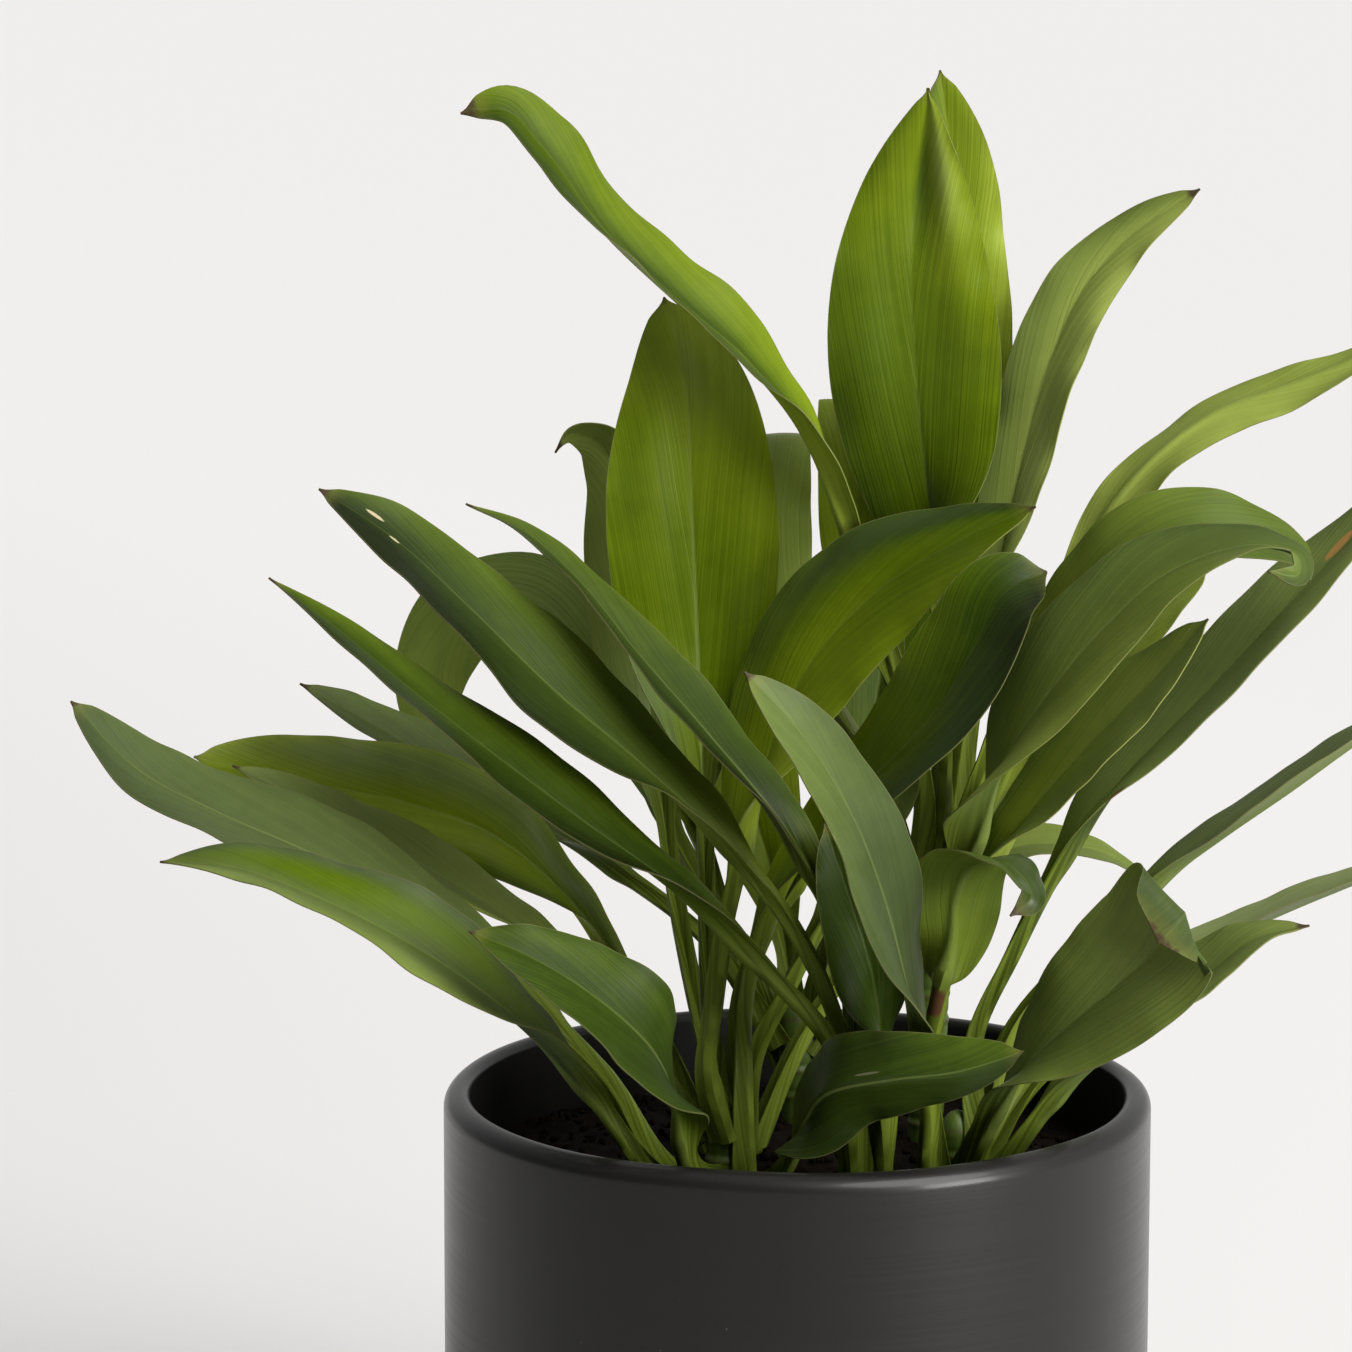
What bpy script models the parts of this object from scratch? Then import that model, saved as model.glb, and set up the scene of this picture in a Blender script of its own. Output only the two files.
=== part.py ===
"""A ti plant in a round pot: six green canes in potting soil, each with its own long-stalked leaves.

The frame is the pot's: +Z up, the origin at the middle of the pot's underside, and -Y towards
the front. Numbers in the tables are millimetres and degrees, and MM turns them into metres.
"""

import math
from collections import namedtuple

import bmesh
import bpy
import numpy as np
from mathutils import Vector

MM = 0.001
CLEARANCE = 0.3

# The pot, a plain turned cylinder with a full round rim
POT_DIAMETER = 240.0
POT_HEIGHT = 227.0
WALL = 9.0
RIM_OUTER_ROUND = 6.0
FLOOR = 12.0
FOOT_ROUND = 6.0
INNER_ROUND = 14.0
POT_SIDES = 56

# The soil fills the pot to a finger's breadth below the rim
SOIL_LEVEL = 203.0
SOIL_CROWN = 2.0
CANE_DEPTH = 60.0

# The canes: where each stands, how high its top is, and how far the top leans from the foot
CANE_RADIUS = 6.5
SCAR_SPACING = 9.0
SCAR_SWELL = 1.07
BUD_LENGTH = 8.0
Cane = namedtuple("Cane", "foot top_height lean")
CANES = {
    "a": Cane((-25.0, -38.0), 221.0, (0.0, 0.0)),
    "b": Cane((24.0, -44.0), 219.0, (0.0, 0.0)),
    "c": Cane((44.0, 10.0), 310.0, (4.0, 2.0)),
    "d": Cane((53.0, -32.0), 219.0, (0.0, 0.0)),
    "e": Cane((2.0, 48.0), 240.0, (-2.0, 3.0)),
    "f": Cane((-22.0, -4.0), 222.0, (0.0, 1.0)),
}

# A leaf: the tables give its route as it is seen from the front, from EYE
EYE = np.array([-41.0, -1937.0, 717.0])
STALK_WIDTH = 8.0
SHEATH_WIDTH = 9.0
SHEATH_LENGTH = 0.06
STALK_FOLD = 42.0
TIP_WIDTH = 1.6
THICKEST = 3.2
EDGE_THICK = 1.0
RIB_THICK = 1.7
STATIONS_STALK = 5
STATIONS_BLADE = 11
ACROSS = (-1.0, -0.55, 0.0, 0.55, 1.0)
FINE = 160

Leaf = namedtuple("Leaf", "name cane height round route stalk width turn tip_turn fold wave shape")
# name, cane, height of its seat and how far round the cane it sits, then the route: (x, z) where
# the sight line from EYE to the midrib crosses the upright plane through the pot's axis, and y,
# how far back the midrib lies. stalk is the share of the length before the blade, width the
# blade's widest, turn how far the upper face is turned to the right of its run as seen from the
# front, tip_turn what the last half adds, fold the angle of the two halves, wave the height of
# the ripples in the edges, and shape the powers with which the blade opens and closes.
PLAIN = (0.9, 0.86)
FULL = (0.85, 0.75)
BLUNT = (0.8, 0.6)
ROUND = (0.5, 0.7)
SHARP = (0.8, 1.1)
LEAVES = [
    Leaf("leaf_a01", "a", 212, 190, [(-43, 202, -46), (-66, 231, -50), (-97, 262, -52), (-128, 287, -52),
         (-162, 307, -50), (-195, 322, -46), (-221, 336, -42), (-244, 360, -36)],
         0.26, 41, 52, 0, 14, 1.5, (0.8, 0.66)),
    Leaf("leaf_a02", "a", 216, 158, [(-42, 223, -30), (-66, 259, -26), (-98, 286, -22), (-128, 305, -20),
         (-160, 323, -20), (-190, 338, -20)], 0.34, 26, 54, 0, 20, 1.0, PLAIN),
    Leaf("leaf_a03", "a", 207, 230, [(-50, 199, -62), (-70, 225, -72), (-95, 251, -82), (-128, 275, -88),
         (-160, 292, -88), (-190, 303, -84), (-215, 305, -80)], 0.24, 42, 52, 10, 22, 1.5, PLAIN),
    Leaf("leaf_a04", "a", 214, 251, [(-37, 202, -66), (-41, 223, -84), (-49, 240, -98), (-68, 258, -108),
         (-90, 272, -112), (-111, 281, -110)], 0.18, 38, 40, 10, 16, 1.5, PLAIN),
    Leaf("leaf_a05", "a", 219, 109, [(-30, 250, -20), (-31, 290, -10), (-32, 335, 0), (-34, 385, 8),
         (-36, 430, 14), (-38, 468, 14), (-45, 496, 10)], 0.40, 58, 0, 0, 5, 1.5, FULL),
    Leaf("leaf_a06", "a", 220, 279, [(-30, 232, -48), (-28, 255, -36), (-24, 285, -28), (-18, 312, -22),
         (-10, 342, -18), (4, 373, -18), (27, 398, -22), (54, 415, -26), (79, 426, -26)],
         0.34, 50, -32, -20, 12, 1.5, PLAIN),
    Leaf("leaf_a07", "a", 213, 345, [(-18, 230, -44), (-18, 256, -38), (-13, 279, -34), (-5, 297, -33),
         (7, 314, -35), (20, 329, -42), (34, 343, -52), (47, 358, -56), (59, 379, -56), (69, 397, -54),
         (83, 404, -50)], 0.28, 42, -48, 30, 14, 1.0, (1.0, 0.5)),
    Leaf("leaf_a08", "a", 214, 50, [(-20, 234, -26), (-19, 256, -22), (-12, 278, -18), (-1, 297, -16),
         (9, 314, -16), (22, 329, -18), (36, 345, -22), (48, 360, -24)],
         0.50, 18, -50, 0, 16, 1.0, PLAIN),
    Leaf("leaf_a09", "a", 207, 308, [(-4, 201, -60), (2, 214, -76), (10, 224, -92), (32, 229, -105),
         (55, 232, -111), (77, 239, -112)], 0.22, 36, 20, 0, -32, 1.0, (0.6, 0.7)),

    Leaf("leaf_b01", "b", 208, 240, [(12, 241, -68), (-12, 269, -72), (-42, 297, -72), (-72, 319, -70),
         (-102, 342, -64), (-132, 366, -56), (-156, 386, -50), (-177, 402, -46)],
         0.28, 36, 58, 10, 12, 1.0, (0.9, 1.0)),
    Leaf("leaf_b02", "b", 214, 192, [(15, 246, -60), (0, 280, -60), (-23, 310, -56), (-54, 340, -50),
         (-82, 364, -44), (-109, 391, -38), (-136, 416, -32), (-160, 432, -28)],
         0.36, 44, 50, 0, 14, 1.5, FULL),
    Leaf("leaf_b03", "b", 217, 136, [(19, 250, -50), (12, 286, -55), (-4, 316, -56), (-30, 349, -48),
         (-54, 377, -38), (-74, 402, -30), (-92, 418, -24), (-111, 427, -22)],
         0.34, 30, 64, 0, 18, 1.0, SHARP),
    Leaf("leaf_b04", "b", 214, 290, [(29, 240, -58), (25, 268, -62), (17, 294, -62), (9, 318, -60)],
         0.22, 30, 20, 0, 12, 1.0, PLAIN),

    Leaf("leaf_c01", "c", 290, 168, [(29, 330, 26), (12, 358, 36), (-8, 392, 46), (-15, 424, 56),
         (-15, 449, 70), (-17, 444, 96), (-18, 424, 110)], 0.34, 40, 8, 0, 16, 1.0, PLAIN),
    Leaf("leaf_c02", "c", 302, 205, [(42, 328, 2), (35, 364, 0), (25, 396, -2), (13, 428, -4),
         (-1, 456, -6), (-19, 477, -8), (-42, 497, -10), (-65, 519, -12), (-85, 546, -14),
         (-97, 558, -16), (-112, 557, -18)], 0.32, 36, 68, -24, 26, 2.0, (0.9, 0.62)),
    Leaf("leaf_c03", "c", 304, 275, [(49, 340, 8), (48, 375, 14), (44, 420, 20), (39, 465, 24),
         (37, 505, 24), (39, 540, 18), (42, 565, 8)], 0.30, 58, 0, 0, 5, 2.0, (0.95, 0.76)),
    Leaf("leaf_c04", "c", 304, 85, [(51, 340, 34), (53, 400, 46), (52, 450, 54), (50, 500, 58),
         (50, 540, 56), (46, 571, 52)], 0.32, 41, 15, 0, 14, 2.0, (0.85, 0.76)),
    Leaf("leaf_c05", "c", 304, 350, [(57, 345, 18), (61, 375, 26), (67, 408, 34), (74, 442, 40),
         (83, 475, 44), (94, 499, 44), (110, 517, 42), (132, 532, 38)], 0.30, 27, -22, 0, 16, 2.0, FULL),
    Leaf("leaf_c06", "c", 292, 28, [(64, 328, 20), (78, 362, 18), (91, 399, 16), (105, 426, 14),
         (121, 444, 12), (139, 457, 10), (160, 465, 6), (180, 473, 2), (208, 488, -2)],
         0.34, 19, 140, 0, 10, 1.5, PLAIN),
    Leaf("leaf_c07", "c", 297, 315, [(63, 340, -8), (77, 368, -12), (92, 392, -20), (108, 409, -25),
         (128, 418, -26), (149, 417, -24), (165, 411, -20), (170, 404, -15), (165, 400, -12)],
         0.22, 33, -42, 0, 16, 1.5, (0.85, 0.7)),
    Leaf("leaf_c08", "c", 284, 290, [(60, 312, -18), (68, 338, -36), (84, 363, -46), (103, 386, -51),
         (122, 403, -54), (140, 411, -56), (156, 413, -58), (167, 409, -61), (167, 403, -66),
         (157, 404, -70)], 0.12, 40, -36, -45, 18, 1.0, (0.55, 0.85)),
    Leaf("leaf_c09", "c", 280, 340, [(69, 310, -6), (86, 332, -10), (106, 354, -14), (124, 373, -16),
         (137, 388, -16)], 0.15, 34, -48, 0, 14, 1.0, FULL),
    Leaf("leaf_c10", "c", 283, 72, [(68, 322, 30), (88, 355, 38), (112, 385, 42), (137, 407, 42)],
         0.20, 36, -45, 0, 14, 1.0, BLUNT),
    Leaf("leaf_c11", "c", 297, 125, [(41, 335, 38), (31, 370, 52), (21, 408, 64), (19, 440, 78),
         (15, 462, 94), (13, 451, 114)], 0.32, 28, 0, 0, 14, 1.0, PLAIN),

    Leaf("leaf_d01", "d", 214, 205, [(44, 228, -48), (46, 248, -57), (49, 264, -65), (52, 279, -71),
         (53, 293, -76), (58, 304, -86), (66, 306, -96), (75, 301, -104), (79, 293, -109),
         (72, 286, -112)], 0.42, 34, 222, 0, 10, 1.0, (0.35, 0.7)),
    Leaf("leaf_d02", "d", 217, 342, [(60, 243, -26), (73, 274, -22), (87, 302, -16), (104, 328, -12),
         (123, 349, -8), (141, 368, -4), (159, 388, 0), (182, 413, 4), (208, 442, 8)],
         0.32, 31, -45, 0, 20, 1.0, PLAIN),
    Leaf("leaf_d03", "d", 212, 30, [(73, 246, -12), (95, 273, -2), (122, 299, 4), (142, 314, 6),
         (165, 330, 6), (190, 348, 4), (222, 367, 2)], 0.42, 26, -78, 0, 22, 0.5, PLAIN),
    Leaf("leaf_d04", "d", 213, 288, [(66, 218, -54), (79, 236, -66), (95, 251, -76), (110, 264, -84),
         (122, 276, -89), (129, 287, -96), (130, 286, -104), (122, 277, -109)],
         0.13, 47, -14, 0, 14, 1.0, (0.9, 0.35)),
    Leaf("leaf_d05", "d", 207, 330, [(75, 210, -44), (92, 228, -48), (114, 246, -52), (136, 264, -54),
         (156, 279, -54), (173, 283, -52)], 0.22, 30, -58, 0, 18, 1.0, PLAIN),
    Leaf("leaf_d06", "d", 207, 60, [(80, 228, -4), (102, 250, -2), (126, 270, 0), (148, 281, 0),
         (168, 290, -2), (190, 299, -4), (216, 310, -6)], 0.42, 24, -75, 0, 20, 0.5, PLAIN),
    Leaf("leaf_d07", "d", 208, 252, [(44, 199, -66), (45, 216, -76), (42, 242, -87), (37, 264, -97),
         (29, 294, -107), (18, 322, -114), (2, 348, -116), (-18, 370, -114)],
         0.30, 36, 50, 0, 12, 1.0, FULL),

    Leaf("leaf_e01", "e", 229, 205, [(-30, 278, 48), (-62, 303, 50), (-98, 324, 50), (-132, 346, 48),
         (-167, 366, 44)], 0.36, 28, 50, 0, 18, 1.0, PLAIN),
    Leaf("leaf_e02", "e", 232, 138, [(-32, 296, 66), (-52, 335, 78), (-71, 376, 86), (-92, 393, 88),
         (-112, 388, 84), (-121, 374, 80), (-124, 354, 76), (-123, 336, 74)],
         0.30, 38, 30, 0, 14, 1.0, FULL),
    Leaf("leaf_e03", "e", 227, 85, [(-6, 290, 78), (-20, 340, 100), (-30, 390, 132), (-36, 425, 168),
         (-38, 428, 205)], 0.12, 48, 0, 0, 16, 1.0, PLAIN),
    Leaf("leaf_e04", "e", 234, 38, [(14, 290, 74), (24, 345, 100), (31, 395, 132), (38, 440, 168),
         (40, 454, 205)], 0.34, 42, 0, 0, 16, 1.0, PLAIN),
    Leaf("leaf_e05", "e", 223, 350, [(30, 268, 66), (60, 316, 92), (84, 350, 122), (104, 374, 155),
         (118, 378, 190)], 0.34, 34, -20, 0, 16, 1.0, PLAIN),
    Leaf("leaf_e06", "e", 219, 130, [(-20, 270, 72), (-40, 330, 100), (-66, 366, 132), (-90, 383, 164),
         (-110, 387, 196)], 0.34, 32, 20, 0, 16, 1.0, PLAIN),

    Leaf("leaf_f01", "f", 213, 190, [(-42, 238, 2), (-58, 266, 10), (-77, 292, 14), (-104, 315, 16),
         (-131, 325, 16), (-165, 332, 12), (-203, 341, 4)], 0.24, 40, 24, 0, 14, 2.0, (1.2, 0.8)),
    Leaf("leaf_f02", "f", 219, 118, [(-33, 250, 14), (-40, 285, 26), (-46, 328, 38), (-51, 370, 46),
         (-56, 412, 50), (-61, 438, 46), (-69, 449, 40), (-77, 450, 34), (-81, 444, 30)],
         0.38, 36, 0, 10, 14, 1.0, (0.9, 1.0)),
    Leaf("leaf_f03", "f", 214, 315, [(-15, 236, -10), (-4, 260, -10), (8, 284, -8), (22, 307, -4),
         (35, 328, -4), (44, 346, -6)], 0.50, 18, -40, 0, 14, 1.0, PLAIN),
    Leaf("leaf_f04", "f", 212, 15, [(-6, 230, 4), (6, 251, 10), (18, 269, 16), (36, 287, 30),
         (56, 302, 42), (78, 311, 50), (100, 309, 56), (119, 299, 60)], 0.50, 18, -50, 0, 14, 0.5, PLAIN),
]

GREEN = (0.07, 0.17, 0.025)
CANE_GREEN = (0.16, 0.26, 0.05)
GLAZE = (0.028, 0.027, 0.029)
PEAT = (0.022, 0.014, 0.009)


def clear_scene():
    """Removes every object that the file starts with."""
    for obj in list(bpy.data.objects):
        bpy.data.objects.remove(obj)


def make_collection(name, hidden=False):
    """A new collection in the scene; a hidden one holds cutters."""
    made = bpy.data.collections.new(name)
    made.hide_render = hidden
    bpy.context.scene.collection.children.link(made)
    return made


def make_material(name, colour, roughness):
    """A Principled BSDF of one colour."""
    material = bpy.data.materials.new(name)
    material.use_nodes = True
    shader = material.node_tree.nodes["Principled BSDF"]
    shader.inputs["Base Color"].default_value = (*colour, 1.0)
    shader.inputs["Roughness"].default_value = roughness
    shader.inputs["Metallic"].default_value = 0.0
    material.diffuse_color = (*colour, 1.0)
    return material


def add_object(name, data, collection, material=None):
    """Links a new object that holds the given mesh or curve."""
    obj = bpy.data.objects.new(name, data)
    collection.objects.link(obj)
    if material:
        data.materials.append(material)
    return obj


def arc(centre, radius, start, end, steps):
    """Points of a round corner in the (radius, height) plane, from one angle to another in degrees."""
    angles = np.radians(np.linspace(start, end, steps))
    return [(centre[0] + radius * math.cos(a), centre[1] + radius * math.sin(a)) for a in angles]


def turned(name, profile, sides, collection, material):
    """A profile of (radius, height) points in mm, spun about Z by a Screw modifier."""
    mesh = bpy.data.meshes.new(name)
    points = [(r * MM, 0.0, z * MM) for r, z in profile]
    mesh.from_pydata(points, [(i, i + 1) for i in range(len(points) - 1)], [])
    obj = add_object(name, mesh, collection, material)
    screw = obj.modifiers.new("spin", "SCREW")
    screw.steps = screw.render_steps = sides
    screw.use_merge_vertices = True
    screw.merge_threshold = 0.00005
    screw.use_smooth_shade = True
    return obj


def make_pot(collection):
    """The pot: inner floor, inner wall, round rim, outer wall, rounded foot and flat underside."""
    outer = POT_DIAMETER / 2
    inner = outer - WALL
    rim_inner = WALL - RIM_OUTER_ROUND
    profile = [(0.0, FLOOR)]
    profile += arc((inner - INNER_ROUND, FLOOR + INNER_ROUND), INNER_ROUND, 270, 360, 4)
    profile += arc((inner + rim_inner, POT_HEIGHT - rim_inner), rim_inner, 180, 90, 4)
    profile += arc((outer - RIM_OUTER_ROUND, POT_HEIGHT - RIM_OUTER_ROUND), RIM_OUTER_ROUND, 90, 0, 6)[1:]
    profile += arc((outer - FOOT_ROUND, FOOT_ROUND), FOOT_ROUND, 0, -90, 4)
    profile += [(0.0, 0.0)]
    return turned("pot", profile, POT_SIDES, collection, make_material("pot_glaze", GLAZE, 0.42))


def cane_axis(cane, height):
    """The point of a cane's axis at a height. Below the soil it stands upright, above it leans."""
    share = max(0.0, (height - SOIL_LEVEL) / (cane.top_height - SOIL_LEVEL))
    return np.array([cane.foot[0] + cane.lean[0] * share, cane.foot[1] + cane.lean[1] * share, height])


def make_soil(collection, cutters):
    """The soil: a slightly domed plug in the pot, with a plain hole for each cane."""
    radius = POT_DIAMETER / 2 - WALL - CLEARANCE
    round_radius = INNER_ROUND
    bottom = FLOOR + CLEARANCE
    profile = [(0.0, SOIL_LEVEL + SOIL_CROWN), (radius * 0.3, SOIL_LEVEL + SOIL_CROWN * 0.7),
               (radius * 0.6, SOIL_LEVEL + SOIL_CROWN * 0.2), (radius * 0.85, SOIL_LEVEL - 1.0),
               (radius, SOIL_LEVEL - 4.0)]
    profile += arc((radius - round_radius, bottom + round_radius), round_radius, 0, -90, 4)
    profile += [(0.0, bottom)]
    soil = turned("soil", profile, 40, collection, make_material("soil_peat", PEAT, 0.95))
    for name, cane in CANES.items():
        mesh = bpy.data.meshes.new("hole_" + name)
        shape = bmesh.new()
        hole_radius = (CANE_RADIUS + CLEARANCE) * MM
        bmesh.ops.create_cone(shape, cap_ends=True, segments=16, radius1=hole_radius,
                              radius2=hole_radius, depth=2 * CANE_DEPTH * MM)
        shape.to_mesh(mesh)
        shape.free()
        hole = add_object("hole_" + name, mesh, cutters)
        hole.location = Vector((*cane.foot, SOIL_LEVEL)) * MM
        hole.hide_render = True
        hole.display_type = "WIRE"
    cut = soil.modifiers.new("cane_holes", "BOOLEAN")
    cut.operation = "DIFFERENCE"
    cut.operand_type = "COLLECTION"
    cut.collection = cutters
    return soil


def make_cane(name, cane, collection, material):
    """One cane: a tube whose radius swells at each old leaf's scar and tapers into the bud."""
    foot = SOIL_LEVEL - CANE_DEPTH + CLEARANCE
    scars = np.arange(SOIL_LEVEL + SCAR_SPACING, cane.top_height - SCAR_SPACING / 2, SCAR_SPACING)
    stations = [(foot, 0.93), (SOIL_LEVEL - 1.0, 0.93)]
    for scar in scars:
        stations += [(scar - 1.5, 1.0), (scar, SCAR_SWELL), (scar + 1.5, 1.0)]
    stations += [(cane.top_height, 1.0), (cane.top_height + BUD_LENGTH * 0.6, 0.5),
                 (cane.top_height + BUD_LENGTH, 0.15)]
    curve = bpy.data.curves.new("cane_" + name, "CURVE")
    curve.dimensions = "3D"
    curve.bevel_depth = CANE_RADIUS * MM / SCAR_SWELL
    curve.bevel_resolution = 3
    curve.use_fill_caps = True
    spline = curve.splines.new("POLY")
    spline.points.add(len(stations) - 1)
    for point, (height, swell) in zip(spline.points, stations):
        point.co = (*(cane_axis(cane, height) * MM), 1.0)
        point.radius = swell
    return add_object("cane_" + name, curve, collection, material)


def seen(x, z, y):
    """The point at depth y on the sight line that crosses the plane y = 0 at (x, z)."""
    crossing = np.array([x, 0.0, z])
    return EYE + (crossing - EYE) * (y - EYE[1]) / -EYE[1]


def unit(vectors):
    """Vectors scaled to length 1 along the last axis."""
    return vectors / np.linalg.norm(vectors, axis=-1, keepdims=True)


def smooth_line(points, count):
    """Evenly spaced points on a smooth curve: cubic Hermite pieces whose slopes at the given
    points come from their neighbours, sampled and then spaced again by length."""
    chord = np.concatenate([[0.0], np.cumsum(np.linalg.norm(np.diff(points, axis=0), axis=1))])
    slopes = np.gradient(points, chord, axis=0)
    at = np.linspace(0.0, chord[-1], 4 * count)
    piece = np.clip(np.searchsorted(chord, at, "right") - 1, 0, len(points) - 2)
    span = (chord[piece + 1] - chord[piece])[:, None]
    t = (at - chord[piece])[:, None] / span
    line = ((2 * t**3 - 3 * t**2 + 1) * points[piece] + (t**3 - 2 * t**2 + t) * span * slopes[piece]
            + (3 * t**2 - 2 * t**3) * points[piece + 1] + (t**3 - t**2) * span * slopes[piece + 1])
    run = np.concatenate([[0.0], np.cumsum(np.linalg.norm(np.diff(line, axis=0), axis=1))])
    even = np.linspace(0.0, run[-1], count)
    return np.stack([np.interp(even, run, line[:, k]) for k in range(3)], axis=1)


def smooth_step(t):
    """Runs from 0 to 1 with level ends."""
    t = np.clip(t, 0.0, 1.0)
    return t * t * (3 - 2 * t)


def seat_distance(upright):
    """How far from a cane's axis a stalk's foot lies, so that it just clears the cane. The folded
    edges of an upright stalk reach back around the cane, and those of a level one point up."""
    half = SHEATH_WIDTH / 2
    rise = half * math.sin(math.radians(STALK_FOLD)) * 0.8 * upright
    reach = half * math.cos(math.radians(STALK_FOLD))
    clear = CANE_RADIUS + CLEARANCE
    return max(clear, rise + math.sqrt(clear**2 - reach**2))


def leaf_frames(leaf):
    """The midrib and, along it, its direction, the upper face's normal and the side direction."""
    cane = CANES[leaf.cane]
    axis = cane_axis(cane, leaf.height)
    round_angle = math.radians(leaf.round)
    out = np.array([math.cos(round_angle), math.sin(round_angle), 0.0])
    upright = unit(seen(*leaf.route[0]) - axis - out * CANE_RADIUS)[2]
    seat = axis + out * seat_distance(upright)
    line = smooth_line(np.array([seat] + [seen(*p) for p in leaf.route]), FINE)
    along = unit(np.gradient(line, axis=0))
    normal = np.empty_like(line)
    carried = -out
    for i, direction in enumerate(along):
        carried = unit(carried - direction * (carried @ direction))
        normal[i] = carried
    middle = int(FINE * (1 + leaf.stalk) / 2)
    t = along[middle]
    view = unit(EYE - line[middle])
    facing = unit(view - t * (view @ t))
    wanted = (facing * math.cos(math.radians(leaf.turn))
              + np.cross(t, facing) * math.sin(math.radians(leaf.turn)))
    twist = math.atan2(np.cross(normal[middle], wanted) @ t, normal[middle] @ wanted)
    share = np.linspace(0.0, 1.0, FINE)
    half = middle / FINE
    angle = (twist * smooth_step(share / half)
             + math.radians(leaf.tip_turn) * smooth_step((share - half) / (1 - half)))[:, None]
    normal = normal * np.cos(angle) + np.cross(along, normal) * np.sin(angle)
    return line, along, normal, np.cross(along, normal)


def leaf_surface(leaf, share, across):
    """The upper face in mm at shares of the length (a column) and places across (a row, -1 to 1).

    The half width runs from the sheath to the narrow stalk, then opens as b^p (1-b)^q along
    the blade. Each half rises from the midrib by the fold, less towards the edge, and the
    edges ripple as a sine."""
    line, along, normal, side = leaf_frames(leaf)
    place = np.linspace(0.0, 1.0, FINE)

    def at(field):
        return np.stack([np.interp(share, place, field[:, k]) for k in range(3)], axis=1)[:, None, :]

    blade = np.clip((share - leaf.stalk) / (1 - leaf.stalk), 0.0, 1.0)
    opening, closing = leaf.shape
    peak = opening / (opening + closing)
    open_width = (blade**opening * (1 - blade)**closing
                  / (peak**opening * (1 - peak)**closing)) * leaf.width
    stalk_width = STALK_WIDTH + (SHEATH_WIDTH - STALK_WIDTH) * (1 - smooth_step(share / SHEATH_LENGTH))
    stalk_width = stalk_width + (TIP_WIDTH - stalk_width) * smooth_step((blade - 0.1) / 0.9)
    half = (np.sqrt(open_width**2 + stalk_width**2) / 2)[:, None]
    fold = np.radians(leaf.fold + (STALK_FOLD - leaf.fold) * (1 - smooth_step(blade / 0.35)))[:, None]
    across = across[None, :]
    rise = half * np.sin(fold) * np.abs(across) * (1.25 - 0.45 * np.abs(across))
    ripple = (leaf.wave * np.sin(2 * math.pi * (2.2 * blade[:, None] + 0.18 * np.sign(across)))
              * across**2 * smooth_step(blade[:, None] / 0.2) * smooth_step((1 - blade[:, None]) / 0.2))
    points = (at(line) + at(side) * (half * np.cos(fold) * across)[:, :, None]
              + at(normal) * (rise + ripple)[:, :, None])
    return points, blade


def make_leaf(leaf, collection, material):
    """One leaf: a triangulated grid bent to leaf_surface, given its thickness by Solidify."""
    share = np.concatenate([np.linspace(0.0, leaf.stalk, STATIONS_STALK)[:-1],
                            np.linspace(leaf.stalk, 1.0, STATIONS_BLADE)])
    across = np.array(ACROSS)
    points, blade = leaf_surface(leaf, share, across)
    rows, columns = len(share), len(across)
    shape = bmesh.new()
    bmesh.ops.create_grid(shape, x_segments=columns - 1, y_segments=rows - 1, size=0.5)
    shape.verts.ensure_lookup_table()
    bmesh.ops.triangulate(shape, faces=shape.faces[:], quad_method="FIXED")
    weights = []
    for vert in shape.verts:
        column = round((vert.co.x + 0.5) * (columns - 1))
        row = round((vert.co.y + 0.5) * (rows - 1))
        vert.co = Vector(points[row, column] * MM)
        inward = 1.0 - abs(across[column])
        rib = THICKEST + (RIB_THICK - THICKEST) * smooth_step(blade[row] / 0.3)
        rib = rib + (EDGE_THICK - rib) * smooth_step((blade[row] - 0.6) / 0.4)
        weights.append((EDGE_THICK + (rib - EDGE_THICK) * inward**1.5) / THICKEST)
    mesh = bpy.data.meshes.new(leaf.name)
    shape.to_mesh(mesh)
    shape.free()
    mesh.shade_smooth()
    obj = add_object(leaf.name, mesh, collection, material)
    group = obj.vertex_groups.new(name="thickness")
    for index, weight in enumerate(weights):
        group.add([index], float(weight), "REPLACE")
    solid = obj.modifiers.new("thickness", "SOLIDIFY")
    solid.thickness = THICKEST * MM
    solid.offset = -1.0
    solid.vertex_group = group.name
    solid.thickness_vertex_group = 0.0
    return obj


def main():
    clear_scene()
    plant = make_collection("potted_ti_plant")
    cutters = make_collection("cutters", hidden=True)
    make_pot(plant)
    make_soil(plant, cutters)
    cane_bark = make_material("cane_skin", CANE_GREEN, 0.55)
    for name, cane in CANES.items():
        make_cane(name, cane, plant, cane_bark)
    leaf_green = make_material("leaf_green", GREEN, 0.4)
    for leaf in LEAVES:
        make_leaf(leaf, plant, leaf_green)


main()
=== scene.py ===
# %% [markdown]
# # A ti plant in a dark pot
# A ti plant is a clump of short green canes. Each cane carries a spiral of long-stalked leaves, and
# each leaf is one blade with a strong midrib, fine veins that follow its length, and a dried tip.
# Everything here is worked out with numpy as surfaces of two parameters, because a leaf is a thin
# sheet whose bends are easier to say as a formula than to model by hand.
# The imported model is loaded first. It fixes where each piece stands, and each new piece takes the
# place of one of its nodes.

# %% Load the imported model
import math
from collections import namedtuple

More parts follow.
